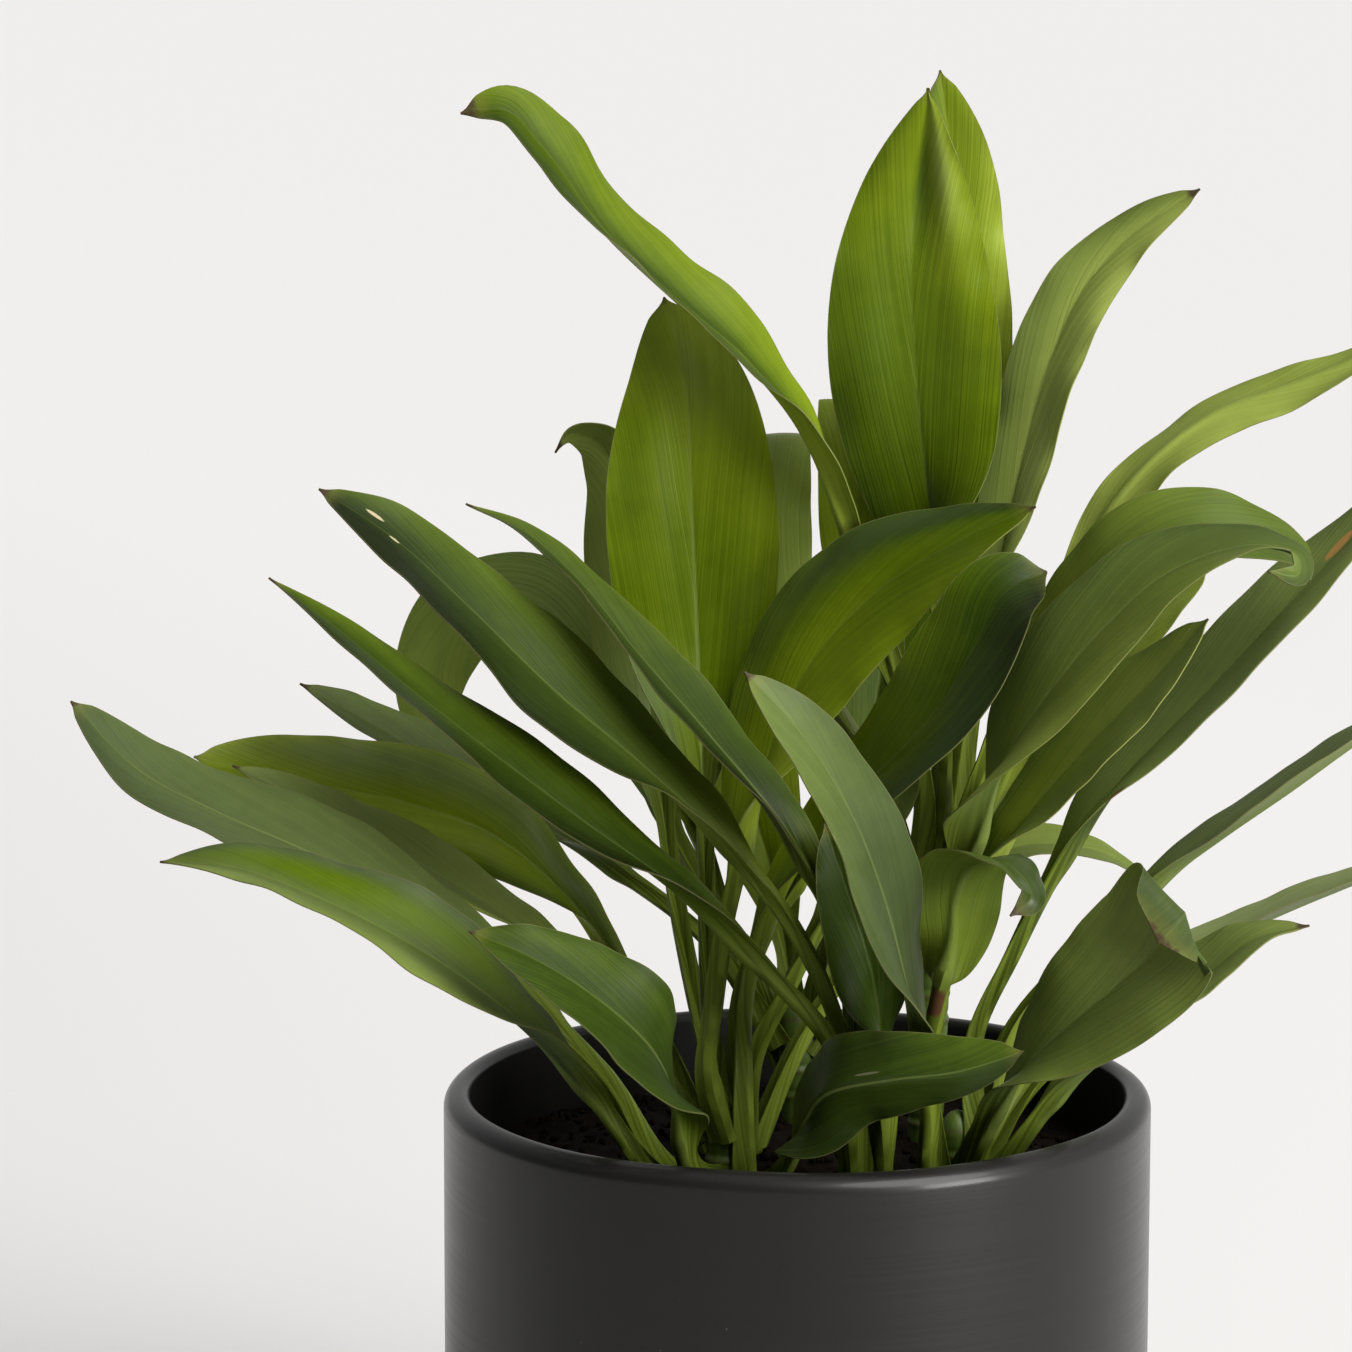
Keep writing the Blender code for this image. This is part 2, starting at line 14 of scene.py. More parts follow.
import bpy
import numpy as np
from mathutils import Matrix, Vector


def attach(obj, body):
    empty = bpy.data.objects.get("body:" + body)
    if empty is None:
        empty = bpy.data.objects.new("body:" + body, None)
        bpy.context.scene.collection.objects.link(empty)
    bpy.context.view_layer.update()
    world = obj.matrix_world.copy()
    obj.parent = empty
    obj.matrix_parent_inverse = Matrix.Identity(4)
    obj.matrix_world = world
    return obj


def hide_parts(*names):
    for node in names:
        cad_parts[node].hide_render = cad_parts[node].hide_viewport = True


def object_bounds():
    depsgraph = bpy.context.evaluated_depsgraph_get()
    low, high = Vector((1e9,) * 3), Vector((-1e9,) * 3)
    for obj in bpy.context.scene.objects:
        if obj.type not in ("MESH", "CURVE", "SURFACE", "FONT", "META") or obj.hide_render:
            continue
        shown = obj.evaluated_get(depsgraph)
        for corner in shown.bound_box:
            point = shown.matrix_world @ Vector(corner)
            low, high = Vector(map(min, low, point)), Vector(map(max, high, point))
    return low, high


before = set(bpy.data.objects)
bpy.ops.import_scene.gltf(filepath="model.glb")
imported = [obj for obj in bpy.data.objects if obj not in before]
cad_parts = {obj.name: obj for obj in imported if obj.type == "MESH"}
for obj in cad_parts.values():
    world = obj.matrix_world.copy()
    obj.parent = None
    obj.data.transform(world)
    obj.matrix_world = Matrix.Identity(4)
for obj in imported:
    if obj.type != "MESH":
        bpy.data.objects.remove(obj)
packed_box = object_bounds()
MM = 0.001
print("nodes:", len(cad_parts), "box:", [tuple(round(v, 3) for v in corner) for corner in packed_box])

# %% [markdown]
# ## The camera
# The photograph is taken from almost two metres away with a long lens, a little above the leaves.
# The camera comes first because the leaf tables below are read along its sight lines: each leaf's
# route says where it is seen in front of the upright plane through the pot's axis, and how deep.

# %% Camera
EYE = np.array([-41.0, -1937.0, 717.0])
LOOK_DOWN = 10.2
FOCAL_LENGTH = 156.3
SENSOR_WIDTH = 36.0
FARTHEST = 100.0

camera_data = bpy.data.cameras.new("camera")
camera_data.lens = FOCAL_LENGTH
camera_data.sensor_width = SENSOR_WIDTH
camera_data.clip_end = FARTHEST
camera = bpy.data.objects.new("camera", camera_data)
camera.location = EYE * MM
camera.rotation_euler = (math.radians(90.0 - LOOK_DOWN), 0.0, 0.0)
bpy.context.scene.collection.objects.link(camera)
bpy.context.scene.camera = camera
print("camera at", [round(v, 3) for v in camera.location])

# %% [markdown]
# ## A small language for finishes
# A finish is a formula over the surface: a green that depends on how far across the blade a point
# lies, streaks along the veins, a brown tip. Written as nodes by hand such a formula is hard to
# read, so a Wire wraps one node socket and gives it + - * / and a few named steps. Each operation
# adds its own Math node.

# %% Wire, Bench and Finish


class Wire:
    """One output socket of a node, usable in arithmetic. Each operation adds a Math node."""

    def __init__(self, socket):
        self.socket = socket

    def __add__(self, other):
        return maths("ADD", self, other)

    def __radd__(self, other):
        return maths("ADD", other, self)

    def __sub__(self, other):
        return maths("SUBTRACT", self, other)

    def __rsub__(self, other):
        return maths("SUBTRACT", other, self)

    def __mul__(self, other):
        return maths("MULTIPLY", self, other)

    def __rmul__(self, other):
        return maths("MULTIPLY", other, self)

    def __truediv__(self, other):
        return maths("DIVIDE", self, other)

    def size(self):
        """The value without its sign."""
        return maths("ABSOLUTE", self)

    def held(self):
        """The value kept between 0 and 1."""
        return maths("ADD", self, 0.0, clamp=True)


def put(socket, value):
    """Links a wire to a socket, or sets a plain value on it."""
    if isinstance(value, Wire):
        socket.id_data.links.new(value.socket, socket)
    else:
        socket.default_value = value


def maths(operation, *values, clamp=False):
    """A Math node with these values as its inputs. At least one of them is a wire."""
    tree = next(value.socket.id_data for value in values if isinstance(value, Wire))
    node = tree.nodes.new("ShaderNodeMath")
    node.operation = operation
    node.use_clamp = clamp
    for socket, value in zip(node.inputs, values):
        put(socket, value)
    return Wire(node.outputs[0])


class Bench:
    """A node tree to work on. node() makes any node."""

    def __init__(self, tree):
        self.tree = tree

    def node(self, kind, settings=None, sockets=None, output=0):
        """A node of a kind, its settings made first, then its sockets filled; one output as a wire."""
        node = self.tree.nodes.new(kind)
        for key, value in (settings or {}).items():
            setattr(node, key, value)
        for key, value in (sockets or {}).items():
            put(node.inputs[key], value)
        return Wire(node.outputs[output])

    def place(self):
        """Where a point lies on the object, in metres."""
        return self.node("ShaderNodeTexCoord", output="Object")

    def split(self, vector):
        """The three numbers of a vector, as wires."""
        outputs = self.node("ShaderNodeSeparateXYZ", sockets={0: vector}).socket.node.outputs
        return [Wire(socket) for socket in outputs]

    def spread(self, attribute):
        """The three numbers of a vector attribute, as wires."""
        return self.split(self.node("ShaderNodeAttribute", {"attribute_name": attribute}, output="Vector"))

    def vector(self, x, y, z):
        """Three numbers joined into a vector."""
        return self.node("ShaderNodeCombineXYZ", sockets={0: x, 1: y, 2: z})

    def stretched(self, vector, scale):
        """A vector scaled along each axis."""
        return self.node("ShaderNodeVectorMath", {"operation": "MULTIPLY"}, {0: vector, 1: scale})

    def noise(self, vector, scale=1.0, detail=2.0, rough=0.5):
        """Soft noise from 0 to 1."""
        return self.node("ShaderNodeTexNoise", None,
                         {"Vector": vector, "Scale": scale, "Detail": detail, "Roughness": rough})

    def step(self, value, low, high):
        """Runs smoothly from 0 at low to 1 at high."""
        return self.node("ShaderNodeMapRange", {"interpolation_type": "SMOOTHSTEP"},
                         {0: value, 1: low, 2: high, 3: 0.0, 4: 1.0})

    def mix(self, share, first, second):
        """A colour that runs from the first to the second."""
        paints = [(*c, 1.0) if isinstance(c, tuple) else c for c in (first, second)]
        return self.node("ShaderNodeMix", {"data_type": "RGBA"}, {0: share, 6: paints[0], 7: paints[1]},
                         output=2)

    def ramp(self, value, stops):
        """A colour ramp through (place, colour) stops."""
        wire = self.node("ShaderNodeValToRGB", None, {0: value})
        elements = wire.socket.node.color_ramp.elements
        for _ in range(len(stops) - 2):
            elements.new(0.5)
        for element, (position, colour) in zip(elements, stops):
            element.position = position
            element.color = (*colour, 1.0)
        return wire


class Finish(Bench):
    """A material with one Principled shader, whose constants are set by name."""

    def __init__(self, name, **constants):
        self.material = bpy.data.materials.new(name)
        self.material.use_nodes = True
        super().__init__(self.material.node_tree)
        self.shader = self.tree.nodes["Principled BSDF"]
        for socket, value in constants.items():
            self.shader.inputs[socket.replace("_", " ")].default_value = value

    def bump(self, height):
        """Small relief, its height in metres."""
        put(self.shader.inputs["Normal"],
            self.node("ShaderNodeBump", None, {"Strength": 1.0, "Distance": 1.0, "Height": height}))

    def colour(self, value):
        """The colour of the surface."""
        put(self.shader.inputs["Base Color"], value)

    def roughness(self, value):
        """How dull the surface is, from 0 for a mirror to 1."""
        put(self.shader.inputs["Roughness"], value)


# %% [markdown]
# ## The studio
# The plant stands on a wide pale floor. One large soft lamp stands high on the right, and the room
# is bright behind and above but dark on the camera's side. That dark side is what keeps the glaze
# black and the leaves a clean green, because a smooth thing is as pale as what it mirrors. The sky
# is therefore a formula of direction, and the lamp is a sun with a wide angle, for soft shadows.
# A low soft box on the right adds the broad sheen on the pot's right half. The floor carries painted
# shade: it is painted a little darker in front of the pot, so that the lamps don't burn it out, and
# darker towards the front left, as the shade of the pot and plant.

# %% Floor
FLOOR_REACH = 30.0
FLOOR_DROP = 0.0004
FLOOR_FRONT = 0.52
FLOOR_NEAR = 0.60
FLOOR_FAR = 0.80
FLOOR_TINT = (1.0, 0.99, 0.985)


def floor_tone(share):
    """The floor's tint at a share of full white."""
    return tuple(share * c for c in FLOOR_TINT)


corners = [(x * FLOOR_REACH, y * FLOOR_REACH, -FLOOR_DROP) for x, y in ((-1, -1), (1, -1), (1, 1), (-1, 1))]
floor_mesh = bpy.data.meshes.new("floor")
floor_mesh.from_pydata(corners, [], [(0, 1, 2, 3)])
floor = bpy.data.objects.new("floor", floor_mesh)
bpy.context.scene.collection.objects.link(floor)
floor_paint = Finish("floor_paint", Roughness=0.9, Specular_IOR_Level=0.05)
floor_x, floor_y, _ = floor_paint.split(floor_paint.place())
# Painted shade: darker towards the front left, where the pot and plant would shade the floor, and darker
# still in front of the pot, against the lamps' light.
away = floor_paint.step(floor_x * 0.5 + floor_y * 0.3, -0.55, 0.75)
pale = floor_paint.mix(away, floor_tone(FLOOR_NEAR), floor_tone(FLOOR_FAR))
behind_pot = floor_paint.step(floor_y, -1.2, 0.3)
floor_paint.colour(floor_paint.mix(behind_pot, floor_tone(FLOOR_FRONT), pale))
floor_mesh.materials.append(floor_paint.material)
print("floor reaches", FLOOR_REACH, "m each way")

# %% Sky and lamps
SKY_DARK = 0.08
SKY_BRIGHT = 0.60
SKY_COLOUR = (1.0, 0.995, 0.99, 1.0)
BRIGHT_WAY = (0.45, 0.62, 0.64)
LAMP_COLOUR = (1.0, 0.985, 0.965)
SUN_STRENGTH = 2.95
SUN_WIDTH = 42.0
SUN_AZIMUTH = 46.0
SUN_HEIGHT = 44.0
BOX_POWER = 8.4
BOX_SIZE = 1.0
BOX_SPREAD = 70.0
BOX_TILT = 83.0
BOX_PLACE = (1.75, -1.45, 0.62)

sky = bpy.data.worlds.new("sky")
sky.use_nodes = True
dome = Bench(sky.node_tree)
direction = dome.node("ShaderNodeTexCoord", output="Generated")
towards_light = dome.node("ShaderNodeVectorMath", {"operation": "DOT_PRODUCT"},
                          {0: direction, 1: BRIGHT_WAY}, output="Value")
background = sky.node_tree.nodes["Background"]
put(background.inputs["Color"], SKY_COLOUR)
put(background.inputs["Strength"], SKY_DARK + (SKY_BRIGHT - SKY_DARK) * dome.step(towards_light, -0.5, 0.8))
bpy.context.scene.world = sky
bpy.context.scene.view_settings.view_transform = "Standard"


def hang_lamp(name, kind, energy, tilt, turn):
    """A lamp that shines down, tilted up by one angle and then turned by another, in radians."""
    data = bpy.data.lights.new(name, kind)
    data.energy = energy
    data.color = LAMP_COLOUR
    lamp = bpy.data.objects.new(name, data)
    lamp.rotation_euler = (tilt, 0.0, turn)
    bpy.context.scene.collection.objects.link(lamp)
    return lamp


sun = hang_lamp("key_light", "SUN", SUN_STRENGTH, math.radians(90.0 - SUN_HEIGHT), math.radians(SUN_AZIMUTH))
sun.data.angle = math.radians(SUN_WIDTH)
box_turn = math.atan2(BOX_PLACE[0], -BOX_PLACE[1])
soft_box = hang_lamp("soft_box", "AREA", BOX_POWER, math.radians(BOX_TILT), box_turn)
soft_box.data.shape = "SQUARE"
soft_box.data.size = BOX_SIZE
soft_box.data.spread = math.radians(BOX_SPREAD)
soft_box.location = BOX_PLACE
soft_box.visible_camera = False
print("key light from", SUN_AZIMUTH, "degrees right of the front,", SUN_HEIGHT, "degrees up")

# %% [markdown]
# ## Meshes from grids
# Every piece below is a grid of points, worked out as whole arrays. One helper turns the grid's
# numbering into faces, and another hands points, faces and named values to Blender.

# %% Grid faces and the piece maker


def grid_faces(rows, columns, around=False):
    """Quads of a grid numbered row by row. Around joins the last column to the first."""
    row = np.arange(rows - 1)[:, None] * columns
    column = np.arange(columns if around else columns - 1)[None, :]
    right = (column + 1) % columns
    return np.stack([row + column, row + right, row + columns + right, row + columns + column],
                    axis=-1).reshape(-1, 4)


def make_piece(name, points, faces, node, finish, values=None, sharp=None):
    """A mesh object in place of a CAD node. Points are in mm; values are per-point vectors."""
    mesh = bpy.data.meshes.new(name)
    mesh.from_pydata(points.reshape(-1, 3) * MM, [], faces)
    for key, field in (values or {}).items():
        attribute = mesh.attributes.new(key, "FLOAT_VECTOR", "POINT")
        attribute.data.foreach_set("vector", np.ascontiguousarray(field, dtype=np.float32).reshape(-1))
    mesh.shade_smooth()
    if sharp:
        mesh.set_sharp_from_angle(angle=math.radians(sharp))
    mesh.materials.append(finish.material)
    piece = bpy.data.objects.new(name, mesh)
    bpy.context.scene.collection.objects.link(piece)
    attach(piece, "root")
    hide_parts(node)
    return piece


def smooth_step(t):
    """Runs from 0 to 1 with level ends."""
    t = np.clip(t, 0.0, 1.0)
    return t * t * (3 - 2 * t)


def lumps(x, y, size, seed):
    """Seeded random heights from -1 to 1 on a square lattice, smoothed between its points."""
    lattice = np.random.default_rng(seed).uniform(-1.0, 1.0, (64, 64))
    u = x / size + 32.0
    v = y / size + 32.0
    i = np.floor(u).astype(int) % 64
    j = np.floor(v).astype(int) % 64
    s = smooth_step(u - np.floor(u))
    t = smooth_step(v - np.floor(v))
    near = lattice[i, j] * (1 - s) + lattice[(i + 1) % 64, j] * s
    far = lattice[i, (j + 1) % 64] * (1 - s) + lattice[(i + 1) % 64, (j + 1) % 64] * s
    return near * (1 - t) + far * t


# %% [markdown]
# ## The pot
# The real pot is slip-cast and dipped in a dark satin glaze. Its rim is a soft roll, and not quite
# true: the light on it wavers. A turned shape could be a Screw modifier on a profile. Here the
# profile is swept as an array instead, so that a little waver can be added to its radius and height.

# %% Pot shape
POT_RADIUS = 120.0
POT_HEIGHT = 227.0
WALL = 9.0
RIM_OUTER_ROUND = 6.0
FLOOR_THICKNESS = 12.0
FOOT_ROUND = 6.0
INNER_ROUND = 14.0
CLEARANCE = 0.3
POT_SIDES = 240


def arc(centre, radius, start, end, steps):
    """(radius, height) points of a round corner, from one angle to another in degrees."""
    angle = np.radians(np.linspace(start, end, steps))
    return np.stack([centre[0] + radius * np.cos(angle), centre[1] + radius * np.sin(angle)], axis=1)


def straight(first, last, steps):
    """(radius, height) points between two others, both left out."""
    share = np.linspace(0.0, 1.0, steps + 2)[1:-1, None]
    return np.array(first) * (1 - share) + np.array(last) * share


def pot_profile():
    """The pot's section from the middle of its underside, up the outside, over the rim and down
    to the middle of its inner floor."""
    inner = POT_RADIUS - WALL
    rim_inner = WALL - RIM_OUTER_ROUND
    pieces = [np.array([[2.0, 0.0]]), straight((2.0, 0.0), (POT_RADIUS - FOOT_ROUND, 0.0), 6),
              arc((POT_RADIUS - FOOT_ROUND, FOOT_ROUND), FOOT_ROUND, -90, 0, 9),
              straight((POT_RADIUS, FOOT_ROUND), (POT_RADIUS, POT_HEIGHT - RIM_OUTER_ROUND), 40),
              arc((POT_RADIUS - RIM_OUTER_ROUND, POT_HEIGHT - RIM_OUTER_ROUND), RIM_OUTER_ROUND, 0, 90, 14),
              arc((inner + rim_inner, POT_HEIGHT - rim_inner), rim_inner, 90, 180, 9)[1:],
              straight((inner, POT_HEIGHT - rim_inner), (inner, FLOOR_THICKNESS + INNER_ROUND), 12),
              arc((inner - INNER_ROUND, FLOOR_THICKNESS + INNER_ROUND), INNER_ROUND, 0, -90, 8),
              straight((inner - INNER_ROUND, FLOOR_THICKNESS), (2.0, FLOOR_THICKNESS), 4),
              np.array([[2.0, FLOOR_THICKNESS]])]
    return np.concatenate(pieces)


def swept(profile, sides):
    """A profile carried round the Z axis: one row for each profile point."""
    angle = np.linspace(0.0, 2 * math.pi, sides, endpoint=False)[None, :]
    radius, height = profile[:, :1], profile[:, 1:]
    return np.stack([radius * np.cos(angle), radius * np.sin(angle), height + 0 * angle], axis=-1), angle


def closed_by_poles(points, first, last):
    """Faces of a swept grid with a pole point at each end, and the points with the poles added."""
    rows, sides = points.shape[:2]
    quads = grid_faces(rows, sides, around=True)
    ring = np.arange(sides)
    after = (ring + 1) % sides
    end = (rows - 1) * sides
    near, far = rows * sides, rows * sides + 1
    fans = ([(near, b, a) for a, b in zip(ring.tolist(), after.tolist())]
            + [(far, end + a, end + b) for a, b in zip(ring.tolist(), after.tolist())])
    every = np.concatenate([points.reshape(-1, 3), [first, last]])
    return every, quads.tolist() + fans


pot_points, pot_angle = swept(pot_profile(), POT_SIDES)
waver = smooth_step((pot_points[..., 2] - 150.0) / 70.0)
pot_points[..., 2] += waver * (0.25 * np.sin(3 * pot_angle + 0.6) + 0.18 * np.sin(7 * pot_angle + 2.0))
swell = 1.0 + waver * (0.0009 * np.sin(5 * pot_angle + 1.0) + 0.0007 * np.sin(11 * pot_angle))
pot_points[..., :2] *= swell[..., None]
pot_all, pot_faces = closed_by_poles(pot_points, (0.0, 0.0, 0.0), (0.0, 0.0, FLOOR_THICKNESS))
print("pot points:", len(pot_all))

# %% [markdown]
# ## The glaze
# A satin glaze is dark, a little uneven in gloss, with hair-fine level lines from finishing on the
# wheel and a few pale scuffs. The lines come from noise that is squeezed along the height, and the
# scuffs are noise kept only above a high threshold. A thin clear coat over all of it gives the rim
# its crisp line of light.

# %% Glaze finish
glaze = Finish("dark_glaze", Metallic=0.0, Specular_IOR_Level=0.24, Coat_Weight=0.30,
               Coat_Roughness=0.14, Coat_IOR=1.4)
spot = glaze.place()
level_lines = glaze.noise(glaze.stretched(spot, (6.0, 6.0, 900.0)), 1.0, 3.0)
cloud = glaze.noise(spot, 14.0, 3.0)
grain = glaze.noise(spot, 900.0, 2.0)
specks = glaze.step(glaze.noise(spot, 420.0, 2.0, 0.7), 0.74, 0.80)
patch = glaze.step(glaze.noise(spot, 22.0, 1.0), 0.58, 0.72)
scuff = (specks * patch).held()
glaze_tone = glaze.mix((cloud * 0.6 + level_lines * 0.4).held(),
                       (0.0062, 0.0058, 0.0058), (0.0115, 0.0105, 0.0102))
glaze.colour(glaze.mix(scuff * 0.75, glaze_tone, (0.17, 0.165, 0.155)))
glaze.roughness(0.30 + level_lines * 0.12 + cloud * 0.06 + scuff * 0.2)
glaze.bump(level_lines * 0.00002 + cloud * 0.0004 + grain * 0.000012)
pot = make_piece("pot_body", pot_all, pot_faces, "pot", glaze, sharp=50.0)
print("pot faces:", len(pot.data.polygons))

# %% [markdown]
# ## The soil
# Potting soil is peat with lumps of bark. From the front it is only seen as a dark crumbly floor
# behind the near rim, but from above it fills the pot. It is a closed plug whose top is raised by
# three sizes of lattice noise.

# %% Soil shape
SOIL_LEVEL = 203.0
SOIL_FOOT = FLOOR_THICKNESS + CLEARANCE
SOIL_RADIUS = POT_RADIUS - WALL - CLEARANCE
SOIL_MIDDLE = 3.0
SOIL_SIDES = 160
SOIL_RINGS = 60


def crown(radius):
    """The height of the soil's top without its relief: it falls off towards the wall."""
    return SOIL_LEVEL + 2.0 - 6.0 * (radius / SOIL_RADIUS) ** 3


def broad_relief(x, y):
    """The two larger sizes of lumps."""
    return 2.0 * lumps(x, y, 17.0, 1) + 1.3 * lumps(x, y, 7.0, 2)


top = np.linspace(SOIL_RADIUS, SOIL_MIDDLE, SOIL_RINGS)
soil_profile = np.concatenate([
    np.array([[SOIL_MIDDLE, SOIL_FOOT], [SOIL_RADIUS - INNER_ROUND, SOIL_FOOT]]),
    arc((SOIL_RADIUS - INNER_ROUND, SOIL_FOOT + INNER_ROUND), INNER_ROUND, -90, 0, 6)[1:],
    np.array([[SOIL_RADIUS, 120.0]]), np.stack([top, crown(top)], axis=1)])
soil_points, soil_angle = swept(soil_profile, SOIL_SIDES)
on_top = np.arange(len(soil_profile)) >= len(soil_profile) - SOIL_RINGS
x, y = soil_points[..., 0], soil_points[..., 1]
relief = broad_relief(x, y) + 0.8 * lumps(x, y, 3.2, 3)
soil_points[..., 2] += relief * on_top[:, None]
soil_all, soil_faces = closed_by_poles(soil_points, (0.0, 0.0, SOIL_FOOT), (0.0, 0.0, SOIL_LEVEL + 1.0))
print("soil points:", len(soil_all))

# %% [markdown]
# ## Crumbs
# Loose crumbs lie on the soil. Each is a ball of twelve points and twenty faces whose points are
# drawn in and out by chance, so that no two are alike.

# %% Crumbs on the soil
CRUMBS = 520
GOLDEN = (1 + 5**0.5) / 2
ball = np.array([(-1, GOLDEN, 0), (1, GOLDEN, 0), (-1, -GOLDEN, 0), (1, -GOLDEN, 0), (0, -1, GOLDEN),
                 (0, 1, GOLDEN), (0, -1, -GOLDEN), (0, 1, -GOLDEN), (GOLDEN, 0, -1), (GOLDEN, 0, 1),
                 (-GOLDEN, 0, -1), (-GOLDEN, 0, 1)]) / math.hypot(1, GOLDEN)
ball_faces = np.array([(0, 11, 5), (0, 5, 1), (0, 1, 7), (0, 7, 10), (0, 10, 11), (1, 5, 9), (5, 11, 4),
                       (11, 10, 2), (10, 7, 6), (7, 1, 8), (3, 9, 4), (3, 4, 2), (3, 2, 6), (3, 6, 8),
                       (3, 8, 9), (4, 9, 5), (2, 4, 11), (6, 2, 10), (8, 6, 7), (9, 8, 1)])
draw = np.random.default_rng(11)
reach = (SOIL_RADIUS - 5.0) * np.sqrt(draw.uniform(0.0, 1.0, CRUMBS))
turn = draw.uniform(0.0, 2 * math.pi, CRUMBS)
crumb_x, crumb_y = reach * np.cos(turn), reach * np.sin(turn)
crumb_z = crown(reach) + broad_relief(crumb_x, crumb_y) + 0.4
crumb_size = draw.uniform(0.8, 2.4, (CRUMBS, 1, 3)) * draw.uniform(0.7, 1.3, (CRUMBS, 12, 1))
crumb_points = ball[None] * crumb_size + np.stack([crumb_x, crumb_y, crumb_z], axis=1)[:, None, :]
crumb_faces = ball_faces[None] + len(soil_all) + 12 * np.arange(CRUMBS)[:, None, None]
soil_all = np.concatenate([soil_all, crumb_points.reshape(-1, 3)])
soil_faces = soil_faces + crumb_faces.reshape(-1, 3).tolist()
print("crumbs:", CRUMBS)

# %% [markdown]
# ## The soil's finish
# Peat is dark and quite dull, with a few paler fibres in it. Its colour is painted nearly black,
# darker than peat, as painted shade for the shadowed inside of the pot.

# %% Soil finish
peat = Finish("potting_soil", Metallic=0.0, Specular_IOR_Level=0.04)
spot = peat.place()
crumble = peat.noise(spot, 620.0, 4.0, 0.6)
damp = peat.noise(spot, 35.0, 2.0)
fibre = peat.step(peat.noise(peat.stretched(spot, (700.0, 160.0, 160.0)), 1.0, 2.0), 0.66, 0.72)
# Painted shade: the peat ramp is kept nearly black, for the shade inside the pot.
peat_and_painted_shade = peat.ramp((crumble * 0.8 + damp * 0.3 - 0.1).held(),
                      [(0.20, (0.0068, 0.0048, 0.0036)), (0.55, (0.0088, 0.0060, 0.0044)),
                       (0.90, (0.0140, 0.0094, 0.0064))])
peat.colour(peat.mix(fibre * 0.30, peat_and_painted_shade, (0.032, 0.022, 0.014)))
peat.roughness(0.86 + damp * 0.12)
peat.bump(crumble * 0.00015)
soil = make_piece("soil_fill", soil_all, soil_faces, "soil", peat)
print("soil faces:", len(soil.data.polygons))

# %% [markdown]
# ## The canes
# A cane is a jointed green stem, ringed where old leaves fell. Each is a tube whose radius is a sum
# of narrow bumps, one at each ring, and which closes over a small pointed bud.

# %% Cane shape
CANE_RADIUS = 6.5
CANE_DEPTH = 60.0
SCAR_SPACING = 9.0
BUD_LENGTH = 8.0
CANE_SIDES = 32
Cane = namedtuple("Cane", "foot top_height lean")
CANES = {
    "a": Cane((-25.0, -38.0), 221.0, (0.0, 0.0)),
    "b": Cane((24.0, -44.0), 219.0, (0.0, 0.0)),
    "c": Cane((44.0, 10.0), 310.0, (4.0, 2.0)),
    "d": Cane((53.0, -32.0), 219.0, (0.0, 0.0)),
    "e": Cane((2.0, 48.0), 240.0, (-2.0, 3.0)),
    "f": Cane((-22.0, -4.0), 222.0, (0.0, 1.0)),
}


def cane_axis(cane, height):
    """The point of a cane's axis at a height. Below the soil it stands upright, above it leans."""
    share = max(0.0, (height - SOIL_LEVEL) / (cane.top_height - SOIL_LEVEL))
    return np.array([cane.foot[0] + cane.lean[0] * share, cane.foot[1] + cane.lean[1] * share, height])


def cane_surface(cane):
    """A tube: radius = cane radius * (0.93 + bumps at the rings), closing as a root over the bud."""
    foot = SOIL_LEVEL - CANE_DEPTH + CLEARANCE
    height = np.concatenate([np.linspace(foot, SOIL_LEVEL - 2.0, 6),
                             np.arange(SOIL_LEVEL, cane.top_height, 0.75),
                             np.linspace(cane.top_height, cane.top_height + BUD_LENGTH, 12)])
    scars = np.arange(SOIL_LEVEL + SCAR_SPACING, cane.top_height - SCAR_SPACING / 2, SCAR_SPACING)
    swell = 0.92 + 0.07 * np.exp(-((height[:, None] - scars[None, :]) / 0.9) ** 2).sum(axis=1)
    swell -= 0.05 * np.exp(-((height[:, None] - scars[None, :] - 2.2) / 0.8) ** 2).sum(axis=1)
    bud = np.clip((height - cane.top_height) / BUD_LENGTH, 0.0, 1.0)
    radius = CANE_RADIUS * swell * np.sqrt(1.0 - bud**1.6 * 0.995)
    centre = np.stack([cane_axis(cane, h) for h in height])
    angle = np.linspace(0.0, 2 * math.pi, CANE_SIDES, endpoint=False)
    ring = np.stack([np.cos(angle), np.sin(angle), 0 * angle], axis=1)
    return centre[:, None, :] + radius[:, None, None] * ring[None]


print("canes:", len(CANES))

# %% [markdown]
# ## The canes' finish
# The skin is green with fine upright streaks, and a brown line runs round it at each ring.

# %% Cane finish
skin = Finish("cane_skin", Metallic=0.0)
spot = skin.place()
fine = skin.noise(skin.stretched(spot, (700.0, 700.0, 60.0)), 1.0, 3.0)
blotch = skin.noise(spot, 90.0, 2.0)
height = skin.split(spot)[2]
ring_line = maths("FRACT", (height - SOIL_LEVEL * MM) / (SCAR_SPACING * MM))
scar = skin.step((ring_line - 0.5).size(), 0.40, 0.49)
green = skin.mix((fine * 0.6 + blotch * 0.4).held(), (0.040, 0.075, 0.006), (0.105, 0.165, 0.022))
skin.colour(skin.mix(scar * 0.6, green, (0.090, 0.066, 0.030)))
skin.roughness(0.42 + fine * 0.15)
skin.bump(fine * 0.00012)
for key, cane in CANES.items():
    grid = cane_surface(cane)
    points, faces = closed_by_poles(grid, grid[0].mean(axis=0), grid[-1].mean(axis=0) + (0.0, 0.0, 0.3))
    stem = make_piece("stem_" + key, points, faces, "cane_" + key, skin)
print("faces of the last cane:", len(stem.data.polygons))

